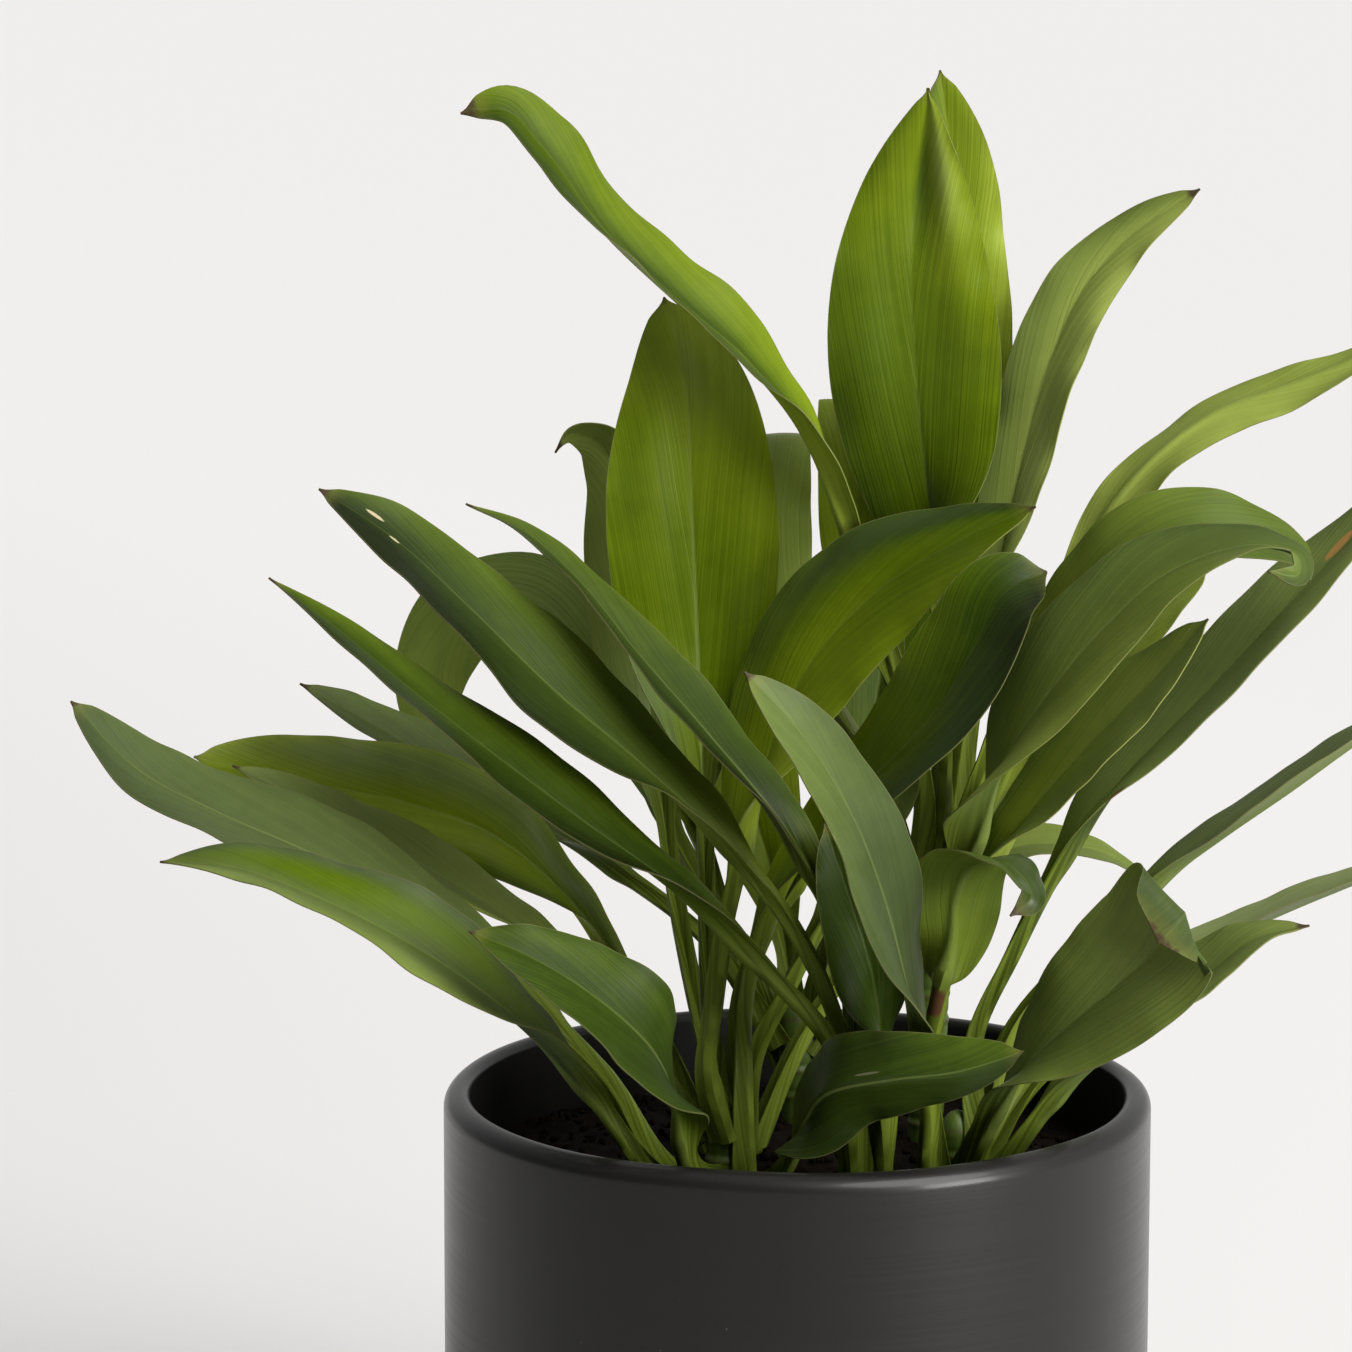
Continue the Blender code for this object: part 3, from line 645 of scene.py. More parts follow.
# %% [markdown]
# ## The leaves
# A leaf is a blade on a channelled stalk. Its midrib is a smooth line through a handful of points.
# A frame is carried along that line without twisting, then turned by two angles. The blade's half
# width opens and closes as powers of the length, its two halves rise from the midrib like an open
# book, and its edges ripple. The table is one row for each leaf.

# %% Leaf table
STALK_WIDTH = 8.0
SHEATH_WIDTH = 9.0
SHEATH_LENGTH = 0.06
STALK_FOLD = 42.0
TIP_WIDTH = 1.2
FINE = 160

# name, whose letter is its cane's, height of its seat and how far round the cane it sits, the route
# as (x, z) where the sight line from EYE crosses the plane y = 0, and the depth y, the stalk's share
# of the length, the blade's widest, turn how far the upper face is turned to the right of its run,
# tip_turn what the last half adds, fold the angle of the two halves, wave the height of the ripples,
# and shape the powers with which the blade opens and closes. A row may leave out wave and shape.
PLAIN = (0.9, 0.86)
FULL = (0.85, 0.75)
BLUNT = (0.8, 0.6)
SHARP = (0.8, 1.1)
Leaf = namedtuple("Leaf", "name height round route stalk width turn tip_turn fold wave shape",
                  defaults=(1.0, PLAIN))
LEAVES = [
    Leaf("a01", 212, 190, [(-43, 202, -46), (-66, 231, -50), (-97, 262, -52), (-128, 287, -52),
         (-162, 307, -50), (-195, 322, -46), (-221, 336, -42), (-244, 360, -36)], 0.26, 41, 52, 0, 14, 1.5,
         (0.8, 0.66)),
    Leaf("a02", 216, 158, [(-42, 223, -30), (-66, 259, -26), (-98, 286, -22), (-128, 305, -20),
         (-160, 323, -20), (-190, 338, -20)], 0.34, 26, 54, 0, 20),
    Leaf("a03", 207, 230, [(-50, 199, -62), (-70, 225, -72), (-95, 251, -82), (-128, 275, -88),
         (-160, 292, -88), (-190, 303, -84), (-215, 305, -80)], 0.24, 42, 52, 10, 22, 1.5),
    Leaf("a04", 214, 251, [(-37, 202, -66), (-41, 223, -84), (-49, 240, -98), (-68, 258, -108),
         (-90, 272, -112), (-111, 281, -110)], 0.18, 38, 40, 10, 16, 1.5),
    Leaf("a05", 219, 109, [(-30, 250, -20), (-31, 290, -10), (-32, 335, 0), (-34, 385, 8), (-36, 430, 14),
         (-38, 468, 14), (-45, 496, 10)], 0.40, 58, 0, 0, 5, 1.5, FULL),
    Leaf("a06", 220, 279, [(-30, 232, -48), (-28, 255, -36), (-24, 285, -28), (-18, 312, -22),
         (-10, 342, -18), (4, 373, -18), (27, 398, -22), (54, 415, -26), (79, 426, -26)], 0.34, 50, -32,
         -20, 12, 1.5),
    Leaf("a07", 213, 345, [(-18, 230, -44), (-18, 256, -38), (-13, 279, -34), (-5, 297, -33), (7, 314, -35),
         (20, 329, -42), (34, 343, -52), (47, 358, -56), (59, 379, -56), (69, 397, -54), (83, 404, -50)],
         0.28, 42, -48, 30, 14, 1.0, (1.0, 0.5)),
    Leaf("a08", 214, 50, [(-20, 234, -26), (-19, 256, -22), (-12, 278, -18), (-1, 297, -16), (9, 314, -16),
         (22, 329, -18), (36, 345, -22), (48, 360, -24)], 0.50, 18, -50, 0, 16),
    Leaf("a09", 207, 308, [(-4, 201, -60), (2, 214, -76), (10, 224, -92), (32, 229, -105), (55, 232, -111),
         (77, 239, -112)], 0.22, 36, 20, 0, -32, 1.0, (0.6, 0.7)),

    Leaf("b01", 208, 240, [(12, 241, -68), (-12, 269, -72), (-42, 297, -72), (-72, 319, -70),
         (-102, 342, -64), (-132, 366, -56), (-156, 386, -50), (-177, 402, -46)], 0.28, 36, 58, 10, 12, 1.0,
         (0.9, 1.0)),
    Leaf("b02", 214, 192, [(15, 246, -60), (0, 280, -60), (-23, 310, -56), (-54, 340, -50), (-82, 364, -44),
         (-109, 391, -38), (-136, 416, -32), (-160, 432, -28)], 0.36, 44, 50, 0, 14, 1.5, FULL),
    Leaf("b03", 217, 136, [(19, 250, -50), (12, 286, -55), (-4, 316, -56), (-30, 349, -48), (-54, 377, -38),
         (-74, 402, -30), (-92, 418, -24), (-111, 427, -22)], 0.34, 30, 64, 0, 18, 1.0, SHARP),
    Leaf("b04", 214, 290, [(29, 240, -58), (25, 268, -62), (17, 294, -62), (9, 318, -60)], 0.22, 30, 20, 0,
         12),

    Leaf("c01", 290, 168, [(29, 330, 26), (12, 358, 36), (-8, 392, 46), (-15, 424, 56), (-15, 449, 70),
         (-17, 444, 96), (-18, 424, 110)], 0.34, 40, 8, 0, 16),
    Leaf("c02", 302, 205, [(42, 328, 2), (35, 364, 0), (25, 396, -2), (13, 428, -4), (-1, 456, -6),
         (-19, 477, -8), (-42, 497, -10), (-65, 519, -12), (-85, 546, -14), (-97, 558, -16),
         (-112, 557, -18)], 0.32, 36, 68, -24, 26, 2.0, (0.9, 0.62)),
    Leaf("c03", 304, 275, [(49, 340, 8), (48, 375, 14), (44, 420, 20), (39, 465, 24), (37, 505, 24),
         (39, 540, 18), (42, 565, 8)], 0.30, 58, 0, 0, 5, 2.0, (0.95, 0.98)),
    Leaf("c04", 304, 85, [(51, 340, 34), (53, 400, 46), (52, 450, 54), (50, 500, 58), (50, 540, 56),
         (46, 571, 52)], 0.32, 41, 15, 0, 14, 2.0, (0.85, 0.76)),
    Leaf("c05", 304, 350, [(57, 345, 18), (61, 375, 26), (67, 408, 34), (74, 442, 40), (83, 475, 44),
         (94, 499, 44), (110, 517, 42), (132, 532, 38)], 0.30, 27, -22, 0, 16, 2.0, FULL),
    Leaf("c06", 292, 28, [(64, 328, 20), (78, 362, 18), (91, 399, 16), (105, 426, 14), (121, 444, 12),
         (139, 457, 10), (160, 465, 6), (180, 473, 2), (208, 488, -2)], 0.34, 19, 140, 0, 10, 1.5),
    Leaf("c07", 297, 315, [(63, 340, -8), (77, 368, -12), (92, 392, -20), (108, 409, -25), (128, 418, -26),
         (149, 417, -24), (165, 411, -20), (170, 404, -15), (165, 400, -12)], 0.22, 33, -42, 0, 16, 1.5,
         (0.85, 0.7)),
    Leaf("c08", 284, 290, [(60, 312, -18), (68, 338, -36), (84, 363, -46), (103, 386, -51), (122, 403, -54),
         (140, 411, -56), (156, 413, -58), (167, 409, -61), (167, 403, -66), (157, 404, -70)], 0.12, 40,
         -36, -45, 18, 1.0, (0.55, 0.85)),
    Leaf("c09", 280, 340, [(69, 310, -6), (86, 332, -10), (106, 354, -14), (124, 373, -16),
         (137, 388, -16)], 0.15, 34, -48, 0, 14, 1.0, FULL),
    Leaf("c10", 283, 72, [(68, 322, 30), (88, 355, 38), (112, 385, 42), (137, 407, 42)], 0.20, 36, -45, 0,
         14, 1.0, BLUNT),
    Leaf("c11", 297, 125, [(41, 335, 38), (31, 370, 52), (21, 408, 64), (19, 440, 78), (15, 462, 94),
         (13, 451, 114)], 0.32, 28, 0, 0, 14),

    Leaf("d01", 214, 205, [(44, 228, -48), (46, 248, -57), (49, 264, -65), (52, 279, -71), (53, 293, -76),
         (58, 304, -86), (66, 306, -96), (75, 301, -104), (79, 293, -109), (72, 286, -112)], 0.42, 34, 222,
         0, 10, 1.0, (0.35, 0.7)),
    Leaf("d02", 217, 342, [(60, 243, -26), (73, 274, -22), (87, 302, -16), (104, 328, -12), (123, 349, -8),
         (141, 368, -4), (159, 388, 0), (182, 413, 4), (208, 442, 8)], 0.32, 31, -45, 0, 20),
    Leaf("d03", 212, 30, [(73, 246, -12), (95, 273, -2), (122, 299, 4), (142, 314, 6), (165, 330, 6),
         (190, 348, 4), (222, 367, 2)], 0.42, 26, -78, 0, 22, 0.5),
    Leaf("d04", 213, 288, [(66, 218, -54), (79, 236, -66), (95, 251, -76), (110, 264, -84), (122, 276, -89),
         (129, 287, -96), (130, 286, -104), (122, 277, -109)], 0.13, 47, -14, 0, 14, 1.0, (0.9, 0.35)),
    Leaf("d05", 207, 330, [(75, 210, -44), (92, 228, -48), (114, 246, -52), (136, 264, -54),
         (156, 279, -54), (173, 283, -52)], 0.22, 30, -58, 0, 18),
    Leaf("d06", 207, 60, [(80, 228, -4), (102, 250, -2), (126, 270, 0), (148, 281, 0), (168, 290, -2),
         (190, 299, -4), (216, 310, -6)], 0.42, 24, -75, 0, 20, 0.5),
    Leaf("d07", 208, 252, [(44, 199, -66), (45, 216, -76), (42, 242, -87), (37, 264, -97), (29, 294, -107),
         (18, 322, -114), (2, 348, -116), (-18, 370, -114)], 0.30, 36, 50, 0, 12, 1.0, FULL),

    Leaf("e01", 229, 205, [(-30, 278, 48), (-62, 303, 50), (-98, 324, 50), (-132, 346, 48),
         (-167, 366, 44)], 0.36, 28, 50, 0, 18),
    Leaf("e02", 232, 138, [(-32, 296, 66), (-52, 335, 78), (-71, 376, 86), (-92, 393, 88), (-112, 388, 84),
         (-121, 374, 80), (-124, 354, 76), (-123, 336, 74)], 0.30, 38, 30, 0, 14, 1.0, FULL),
    Leaf("e03", 227, 85, [(-6, 290, 78), (-20, 340, 100), (-30, 390, 132), (-36, 425, 168),
         (-38, 428, 205)], 0.12, 48, 0, 0, 16),
    Leaf("e04", 234, 38, [(14, 290, 74), (24, 345, 100), (31, 395, 132), (38, 440, 168), (40, 454, 205)],
         0.34, 42, 0, 0, 16),
    Leaf("e05", 223, 350, [(30, 268, 66), (60, 316, 92), (84, 350, 122), (104, 374, 155), (118, 378, 190)],
         0.34, 34, -20, 0, 16),
    Leaf("e06", 219, 130, [(-20, 270, 72), (-40, 330, 100), (-66, 366, 132), (-90, 383, 164),
         (-110, 387, 196)], 0.34, 32, 20, 0, 16),

    Leaf("f01", 213, 190, [(-42, 238, 2), (-58, 266, 10), (-77, 292, 14), (-104, 315, 16), (-131, 325, 16),
         (-165, 332, 12), (-203, 341, 4)], 0.24, 40, 24, 0, 14, 2.0, (1.2, 0.8)),
    Leaf("f02", 219, 118, [(-33, 250, 14), (-40, 285, 26), (-46, 328, 38), (-51, 370, 46), (-56, 412, 50),
         (-61, 438, 46), (-69, 449, 40), (-77, 450, 34), (-81, 444, 30)], 0.38, 36, 0, 10, 14, 1.0,
         (0.9, 1.0)),
    Leaf("f03", 214, 315, [(-15, 236, -10), (-4, 260, -10), (8, 284, -8), (22, 307, -4), (35, 328, -4),
         (44, 346, -6)], 0.50, 18, -40, 0, 14),
    Leaf("f04", 212, 15, [(-6, 230, 4), (6, 251, 10), (18, 269, 16), (36, 287, 30), (56, 302, 42),
         (78, 311, 50), (100, 309, 56), (119, 299, 60)], 0.50, 18, -50, 0, 14, 0.5),
]
print("leaves:", len(LEAVES))

# %% [markdown]
# ## Each leaf's colour and painted light
# Young leaves are yellow green, old ones dark. Over that, light and shade are painted: a leaf that
# light shines through, or one half of a blade that it shines through, is painted brighter, and a
# grey sheen is painted where a blade would mirror the bright room. So each leaf has a few numbers:
# how bright its upper face and its underside are, partly their own green and partly painted light
# and shade, how much one half is painted brighter than the other, how the painted brightness runs
# from stalk to tip, how clear the midrib is, how much painted grey sheen it has, and how many
# millimetres of the tip have dried. A few leaves also shine more than the others.

# %% Leaf tones
# Painted light and shade: upper and under are partly painted, lean paints one half brighter, run paints the
# brightness from stalk to tip, and the grey share is a painted reflection.
Tone = namedtuple("Tone", "upper under lean run rib bloom dry")
TONES = {
    "a01": Tone(0.43, 0.6, 0.1, -0.3, 0.45, 0.48, 2),
    "a02": Tone(0.75, 0.6, 0.17, -0.3, 0.4, 0.51, 2),
    "a03": Tone(0.43, 0.18, -0.25, 0.11, 0.3, 0.35, 2),
    "a04": Tone(0.2, 0.49, 0, 0.22, 0.3, 0.1, 2),
    "a05": Tone(0.57, 0.7, 0.06, 0.5, 0.5, 0, 1.5),
    "a06": Tone(0.61, 0.74, 0.12, -0.44, 0.15, 0.01, 3),
    "a07": Tone(0.4, 0.71, -0.17, -0.44, 0.1, 0.01, 1),
    "a08": Tone(0.8, 0.8, -0.01, -0.05, 0.3, 0, 0),
    "a09": Tone(0.23, 0.57, -0.14, 0.1, 0.6, 0.11, 1),
    "b01": Tone(0.24, 0.5, 0.2, 0.14, 0.2, 0.07, 3),
    "b02": Tone(0.33, 0.87, 0.28, -0.5, 0.3, 0.16, 3),
    "b03": Tone(0.21, 0.49, 0.14, 0.39, 0.3, 0.18, 3),
    "b04": Tone(0.14, 0.3, -0.1, -0.05, 0.1, 0, 1),
    "c01": Tone(0.61, 0.87, 0.16, 0.03, 0.2, 0.3, 1),
    "c02": Tone(0.46, 0.87, 0.17, -0.13, 0.3, 0.06, 5),
    "c03": Tone(0.5, 0.6, 0.1, 0.42, 0.1, 0.01, 1),
    "c04": Tone(0.64, 0.8, 0.22, 0.02, 0.2, 0.07, 1),
    "c05": Tone(0.85, 0.7, 0.3, 0.16, 0.3, 0.4, 4),
    "c06": Tone(0.6, 0.98, -0.04, -0.17, 0.3, 0.34, 1),
    "c07": Tone(0.6, 0.98, -0.02, -0.5, 0.3, 0.23, 1),
    "c08": Tone(0.66, 0.27, 0.2, -0.5, 0.7, 0.33, 1),
    "c09": Tone(0.76, 0.94, 0.04, 0.06, 0.3, 0.4, 1),
    "c10": Tone(0.89, 0.6, 0.02, -0.06, 0.3, 0.18, 1),
    "c11": Tone(0.75, 0.65, 0.02, 0.33, 0.3, 0.06, 1),
    "d01": Tone(0.37, 0.48, 0.04, -0.39, 0.3, 0.16, 3),
    "d02": Tone(0.63, 0.17, 0.12, 0.02, 0.25, 0.51, 3),
    "d03": Tone(0.57, 0.66, 0.04, 0.29, 0.4, 0.64, 2),
    "d04": Tone(0.66, 0.21, 0.06, 0.16, 0.4, 0.35, 2.5),
    "d05": Tone(0.74, 0.36, 0.08, -0.16, 0.3, 0.45, 4),
    "d06": Tone(0.85, 0.7, -0.2, -0.13, 0.3, 0.8, 1),
    "d07": Tone(0.27, 0.6, -0.06, 0.49, 0.3, 0.4, 3),
    "e01": Tone(0.37, 0.5, 0.1, 0.13, 0.3, 0.51, 3),
    "e02": Tone(0.5, 0.8, -0.06, 0.44, 0.2, 0.31, 3),
    "e03": Tone(0.7, 0.6, 0.19, 0.01, 0.2, 0, 1),
    "e04": Tone(0.35, 0.6, -0.06, 0, 0.2, 0, 1),
    "e05": Tone(0.36, 0.6, 0, 0, 0.2, 0, 1),
    "e06": Tone(0.6, 0.6, -0.1, -0.09, 0.2, 0, 1),
    "f01": Tone(0.62, 0.98, 0.18, 0.38, 0.3, 0.03, 1),
    "f02": Tone(0.72, 0.6, -0.01, 0.41, 0.3, 0.43, 4),
    "f03": Tone(0.7, 0.8, -0.07, 0.04, 0.3, 0.45, 0),
    "f04": Tone(0.78, 0.8, -0.04, -0.32, 0.3, 0.4, 1),
}
PLAIN_SHEEN = 0.05
SHEEN = {"a03": 0.06, "a05": 0.15, "a07": 0.45, "a09": 0.15, "c01": 0.3, "c03": 0.12, "c09": 0.15,
         "d01": 0.6, "d04": 0.08, "d07": 0.2, "f01": 0.08}
print("leaves with tones of their own:", len(TONES), "with more sheen:", len(SHEEN))

# %% [markdown]
# ## Soft marks
# Some parts of a blade are painted brighter, where light falls through them, or darker, as painted
# shade; a painted grey sheen lies on others, and a blade may be dented. Each is a soft round mark.
# Its middle is given as a place across, from -1 to 1, and a share of the blade, then how wide and
# how long it is, and how much it adds: of painted brightness, of painted sheen or of height in mm.

# %% Marks
Mark = namedtuple("Mark", "across blade wide long amount")
# Painted light and shade: brighter where light falls through a blade, darker where it is shaded.
PAINTED_LIGHT_MARKS = {
    "a02": [Mark(-0.97, 0.5, 0.14, 0.5, 0.45), Mark(0.3, 0.5, 0.5, 0.5, -0.06)],
    "a03": [Mark(0.55, 0.62, 0.36, 0.34, 0.2), Mark(-0.5, 0.5, 0.4, 0.35, -0.05)],
    "a04": [Mark(0.6, 0.55, 0.3, 0.3, 0.12), Mark(-0.4, 0.25, 0.4, 0.3, -0.06)],
    "a05": [Mark(0, 0.15, 0.6, 0.18, 0.14), Mark(-0.7, 0.75, 0.25, 0.2, -0.08),
            Mark(0.1, 0.92, 0.3, 0.06, 0.06)],
    "a06": [Mark(-0.75, 0.75, 0.3, 0.35, -0.22), Mark(0.2, 0.35, 0.5, 0.25, 0.06)],
    "a09": [Mark(0.5, 0.5, 0.4, 0.4, 0.08), Mark(-0.6, 0.4, 0.4, 0.4, -0.1)],
    "b02": [Mark(0.3, 0.45, 0.8, 0.25, -0.12)],
    "c01": [Mark(-0.2, 0.72, 1, 0.25, -0.12)],
    "c02": [Mark(0.08, 0.5, 0.14, 0.4, -0.18), Mark(0.6, 0.5, 0.3, 0.4, 0.05)],
    "c03": [Mark(0.12, 0.8, 0.12, 0.11, -0.3), Mark(0.55, 0.8, 0.28, 0.16, 0.2),
            Mark(-0.45, 0.85, 0.3, 0.12, 0.08), Mark(0.3, 0.45, 0.5, 0.2, -0.08),
            Mark(0, 0.1, 0.6, 0.12, 0.1)],
    "c05": [Mark(0.6, 0.5, 0.3, 0.4, -0.08)],
    "c07": [Mark(0, 0.25, 0.6, 0.25, 0.12), Mark(0.2, 0.65, 0.4, 0.2, -0.15)],
    "c08": [Mark(-0.4, 0.4, 0.4, 0.4, -0.06)],
    "c09": [Mark(-0.3, 0.25, 0.6, 0.2, 0.14), Mark(-0.2, 0.72, 0.7, 0.3, 0.12)],
    "d04": [Mark(-0.5, 0.3, 0.4, 0.3, 0.06)],
    "f01": [Mark(-0.45, 0.45, 0.4, 0.32, 0.24), Mark(0.7, 0.6, 0.35, 0.4, -0.2),
            Mark(0.3, 0.12, 0.5, 0.15, -0.15)],
}
# Painted grey sheen, standing in for the reflection of the bright room.
PAINTED_SHEEN_MARKS = {
    "a02": [Mark(-0.85, 0.5, 0.25, 0.5, -0.2)],
    "a03": [Mark(0.45, 0.62, 0.3, 0.26, -0.5), Mark(0.95, 0.5, 0.15, 0.5, 0.3),
            Mark(-0.5, 0.6, 0.4, 0.4, 0.15)],
    "a05": [Mark(0.15, 0.85, 0.18, 0.08, 0.22)],
    "a06": [Mark(-0.8, 0.75, 0.25, 0.3, 0.3)],
    "c03": [Mark(0.55, 0.85, 0.25, 0.12, 0.3)],
    "c05": [Mark(0.5, 0.3, 0.4, 0.3, 0.15)],
    "c09": [Mark(-0.3, 0.25, 0.6, 0.25, -0.3), Mark(0.4, 0.75, 0.5, 0.2, 0.2)],
    "d04": [Mark(0.3, 0.7, 0.6, 0.3, 0.1)],
    "f01": [Mark(0.7, 0.6, 0.4, 0.4, 0.45), Mark(-0.5, 0.4, 0.4, 0.4, -0.2)],
}
DENTS = {
    "a05": [Mark(-0.5, 0.6, 0.3, 0.2, 1.5), Mark(0.5, 0.45, 0.3, 0.2, 1)],
    "c03": [Mark(0.15, 0.8, 0.22, 0.12, -3), Mark(0.6, 0.7, 0.25, 0.2, 2),
            Mark(-0.6, 0.55, 0.3, 0.2, 1.5)],
}


def marks(table, name, across, blade):
    """The sum of a leaf's soft round marks: amount * exp(-(across/wide)^2 - (blade/long)^2)."""
    total = 0.0 * across * blade
    for mark in table.get(name, []):
        total = total + mark.amount * np.exp(-((across - mark.across) / mark.wide)**2
                                             - ((blade - mark.blade) / mark.long)**2)
    return total


print("leaves with glows:", len(PAINTED_LIGHT_MARKS), "with grey marks:", len(PAINTED_SHEEN_MARKS), "with dents:", len(DENTS))

# %% [markdown]
# ## The midrib and its frame
# The route is turned from sight lines into points, joined by cubic pieces, and spaced evenly. A
# normal is carried along it by removing, at each step, the part that lies along the line. That
# keeps a leaf from twisting on its own, so every twist in it is one that the table asks for.

# %% Leaf frames


def seen(x, z, y):
    """The point at depth y on the sight line that crosses the plane y = 0 at (x, z)."""
    crossing = np.array([x, 0.0, z])
    return EYE + (crossing - EYE) * (y - EYE[1]) / -EYE[1]


def unit(vectors):
    """Vectors scaled to length 1 along the last axis."""
    return vectors / np.linalg.norm(vectors, axis=-1, keepdims=True)


def smooth_line(points, count):
    """Evenly spaced points on cubic Hermite pieces whose slopes come from the neighbours."""
    chord = np.concatenate([[0.0], np.cumsum(np.linalg.norm(np.diff(points, axis=0), axis=1))])
    slopes = np.gradient(points, chord, axis=0)
    at = np.linspace(0.0, chord[-1], 4 * count)
    piece = np.clip(np.searchsorted(chord, at, "right") - 1, 0, len(points) - 2)
    span = (chord[piece + 1] - chord[piece])[:, None]
    t = (at - chord[piece])[:, None] / span
    line = ((2 * t**3 - 3 * t**2 + 1) * points[piece] + (t**3 - 2 * t**2 + t) * span * slopes[piece]
            + (3 * t**2 - 2 * t**3) * points[piece + 1] + (t**3 - t**2) * span * slopes[piece + 1])
    run = np.concatenate([[0.0], np.cumsum(np.linalg.norm(np.diff(line, axis=0), axis=1))])
    even = np.linspace(0.0, run[-1], count)
    return np.stack([np.interp(even, run, line[:, k]) for k in range(3)], axis=1), run[-1]


def seat_distance(upright):
    """How far from a cane's axis a stalk's foot lies, so that its folded edges clear the cane."""
    half = SHEATH_WIDTH / 2
    rise = half * math.sin(math.radians(STALK_FOLD)) * 0.8 * upright
    across = half * math.cos(math.radians(STALK_FOLD))
    clear = CANE_RADIUS + CLEARANCE
    return max(clear, rise + math.sqrt(clear**2 - across**2))


def leaf_frames(leaf):
    """The midrib and, along it, its direction, the upper face's normal, the side and the length."""
    cane = CANES[leaf.name[0]]
    axis = cane_axis(cane, leaf.height)
    round_angle = math.radians(leaf.round)
    out = np.array([math.cos(round_angle), math.sin(round_angle), 0.0])
    upright = unit(seen(*leaf.route[0]) - axis - out * CANE_RADIUS)[2]
    seat = axis + out * seat_distance(upright)
    line, length = smooth_line(np.array([seat] + [seen(*p) for p in leaf.route]), FINE)
    along = unit(np.gradient(line, axis=0))
    normal = np.empty_like(line)
    carried = -out
    for i, direction in enumerate(along):
        carried = unit(carried - direction * (carried @ direction))
        normal[i] = carried
    middle = int(FINE * (1 + leaf.stalk) / 2)
    t = along[middle]
    view = unit(EYE - line[middle])
    facing = unit(view - t * (view @ t))
    wanted = (facing * math.cos(math.radians(leaf.turn))
              + np.cross(t, facing) * math.sin(math.radians(leaf.turn)))
    twist = math.atan2(np.cross(normal[middle], wanted) @ t, normal[middle] @ wanted)
    share = np.linspace(0.0, 1.0, FINE)
    half = middle / FINE
    angle = (twist * smooth_step(share / half)
             + math.radians(leaf.tip_turn) * smooth_step((share - half) / (1 - half)))[:, None]
    normal = normal * np.cos(angle) + np.cross(along, normal) * np.sin(angle)
    return line, normal, np.cross(along, normal), length


# %% [markdown]
# ## The blade
# The upper face is a grid: shares of the length by places across. Columns crowd at the midrib and
# at the edges, where the shape turns fastest. The underside is the same grid moved down by the
# thickness, which is a thin web, a ridge under the midrib, and the solid stalk. A strip round the
# border closes the two into one body.

# %% Leaf surface
EDGE_THICK = 0.45
WEB_THICK = 0.6
STALK_THICK = 3.2
RIB_RIDGE = 1.3
RIB_GROOVE = 0.45
RIB_SOFT = 0.15
LOW_SEAT = 216.0
FOOT_SINK = 8.0
FOOT_LENGTH = 42.0
SHEATH_FLARE = 6.5
FLARE_LENGTH = 46.0
CUSP_LENGTH = 6.0
CUSP_HALF = 0.28
DRAW_STEP = 7.31
BOX_INSET = 0.02
ROWS_STALK = 22
ROWS_BLADE = 100
HALF_ACROSS = np.array([0.03, 0.07, 0.12, 0.2, 0.3, 0.4, 0.5, 0.6, 0.7, 0.8, 0.88, 0.94, 0.98, 1.0])
ACROSS = np.concatenate([-HALF_ACROSS[::-1], [0.0], HALF_ACROSS])


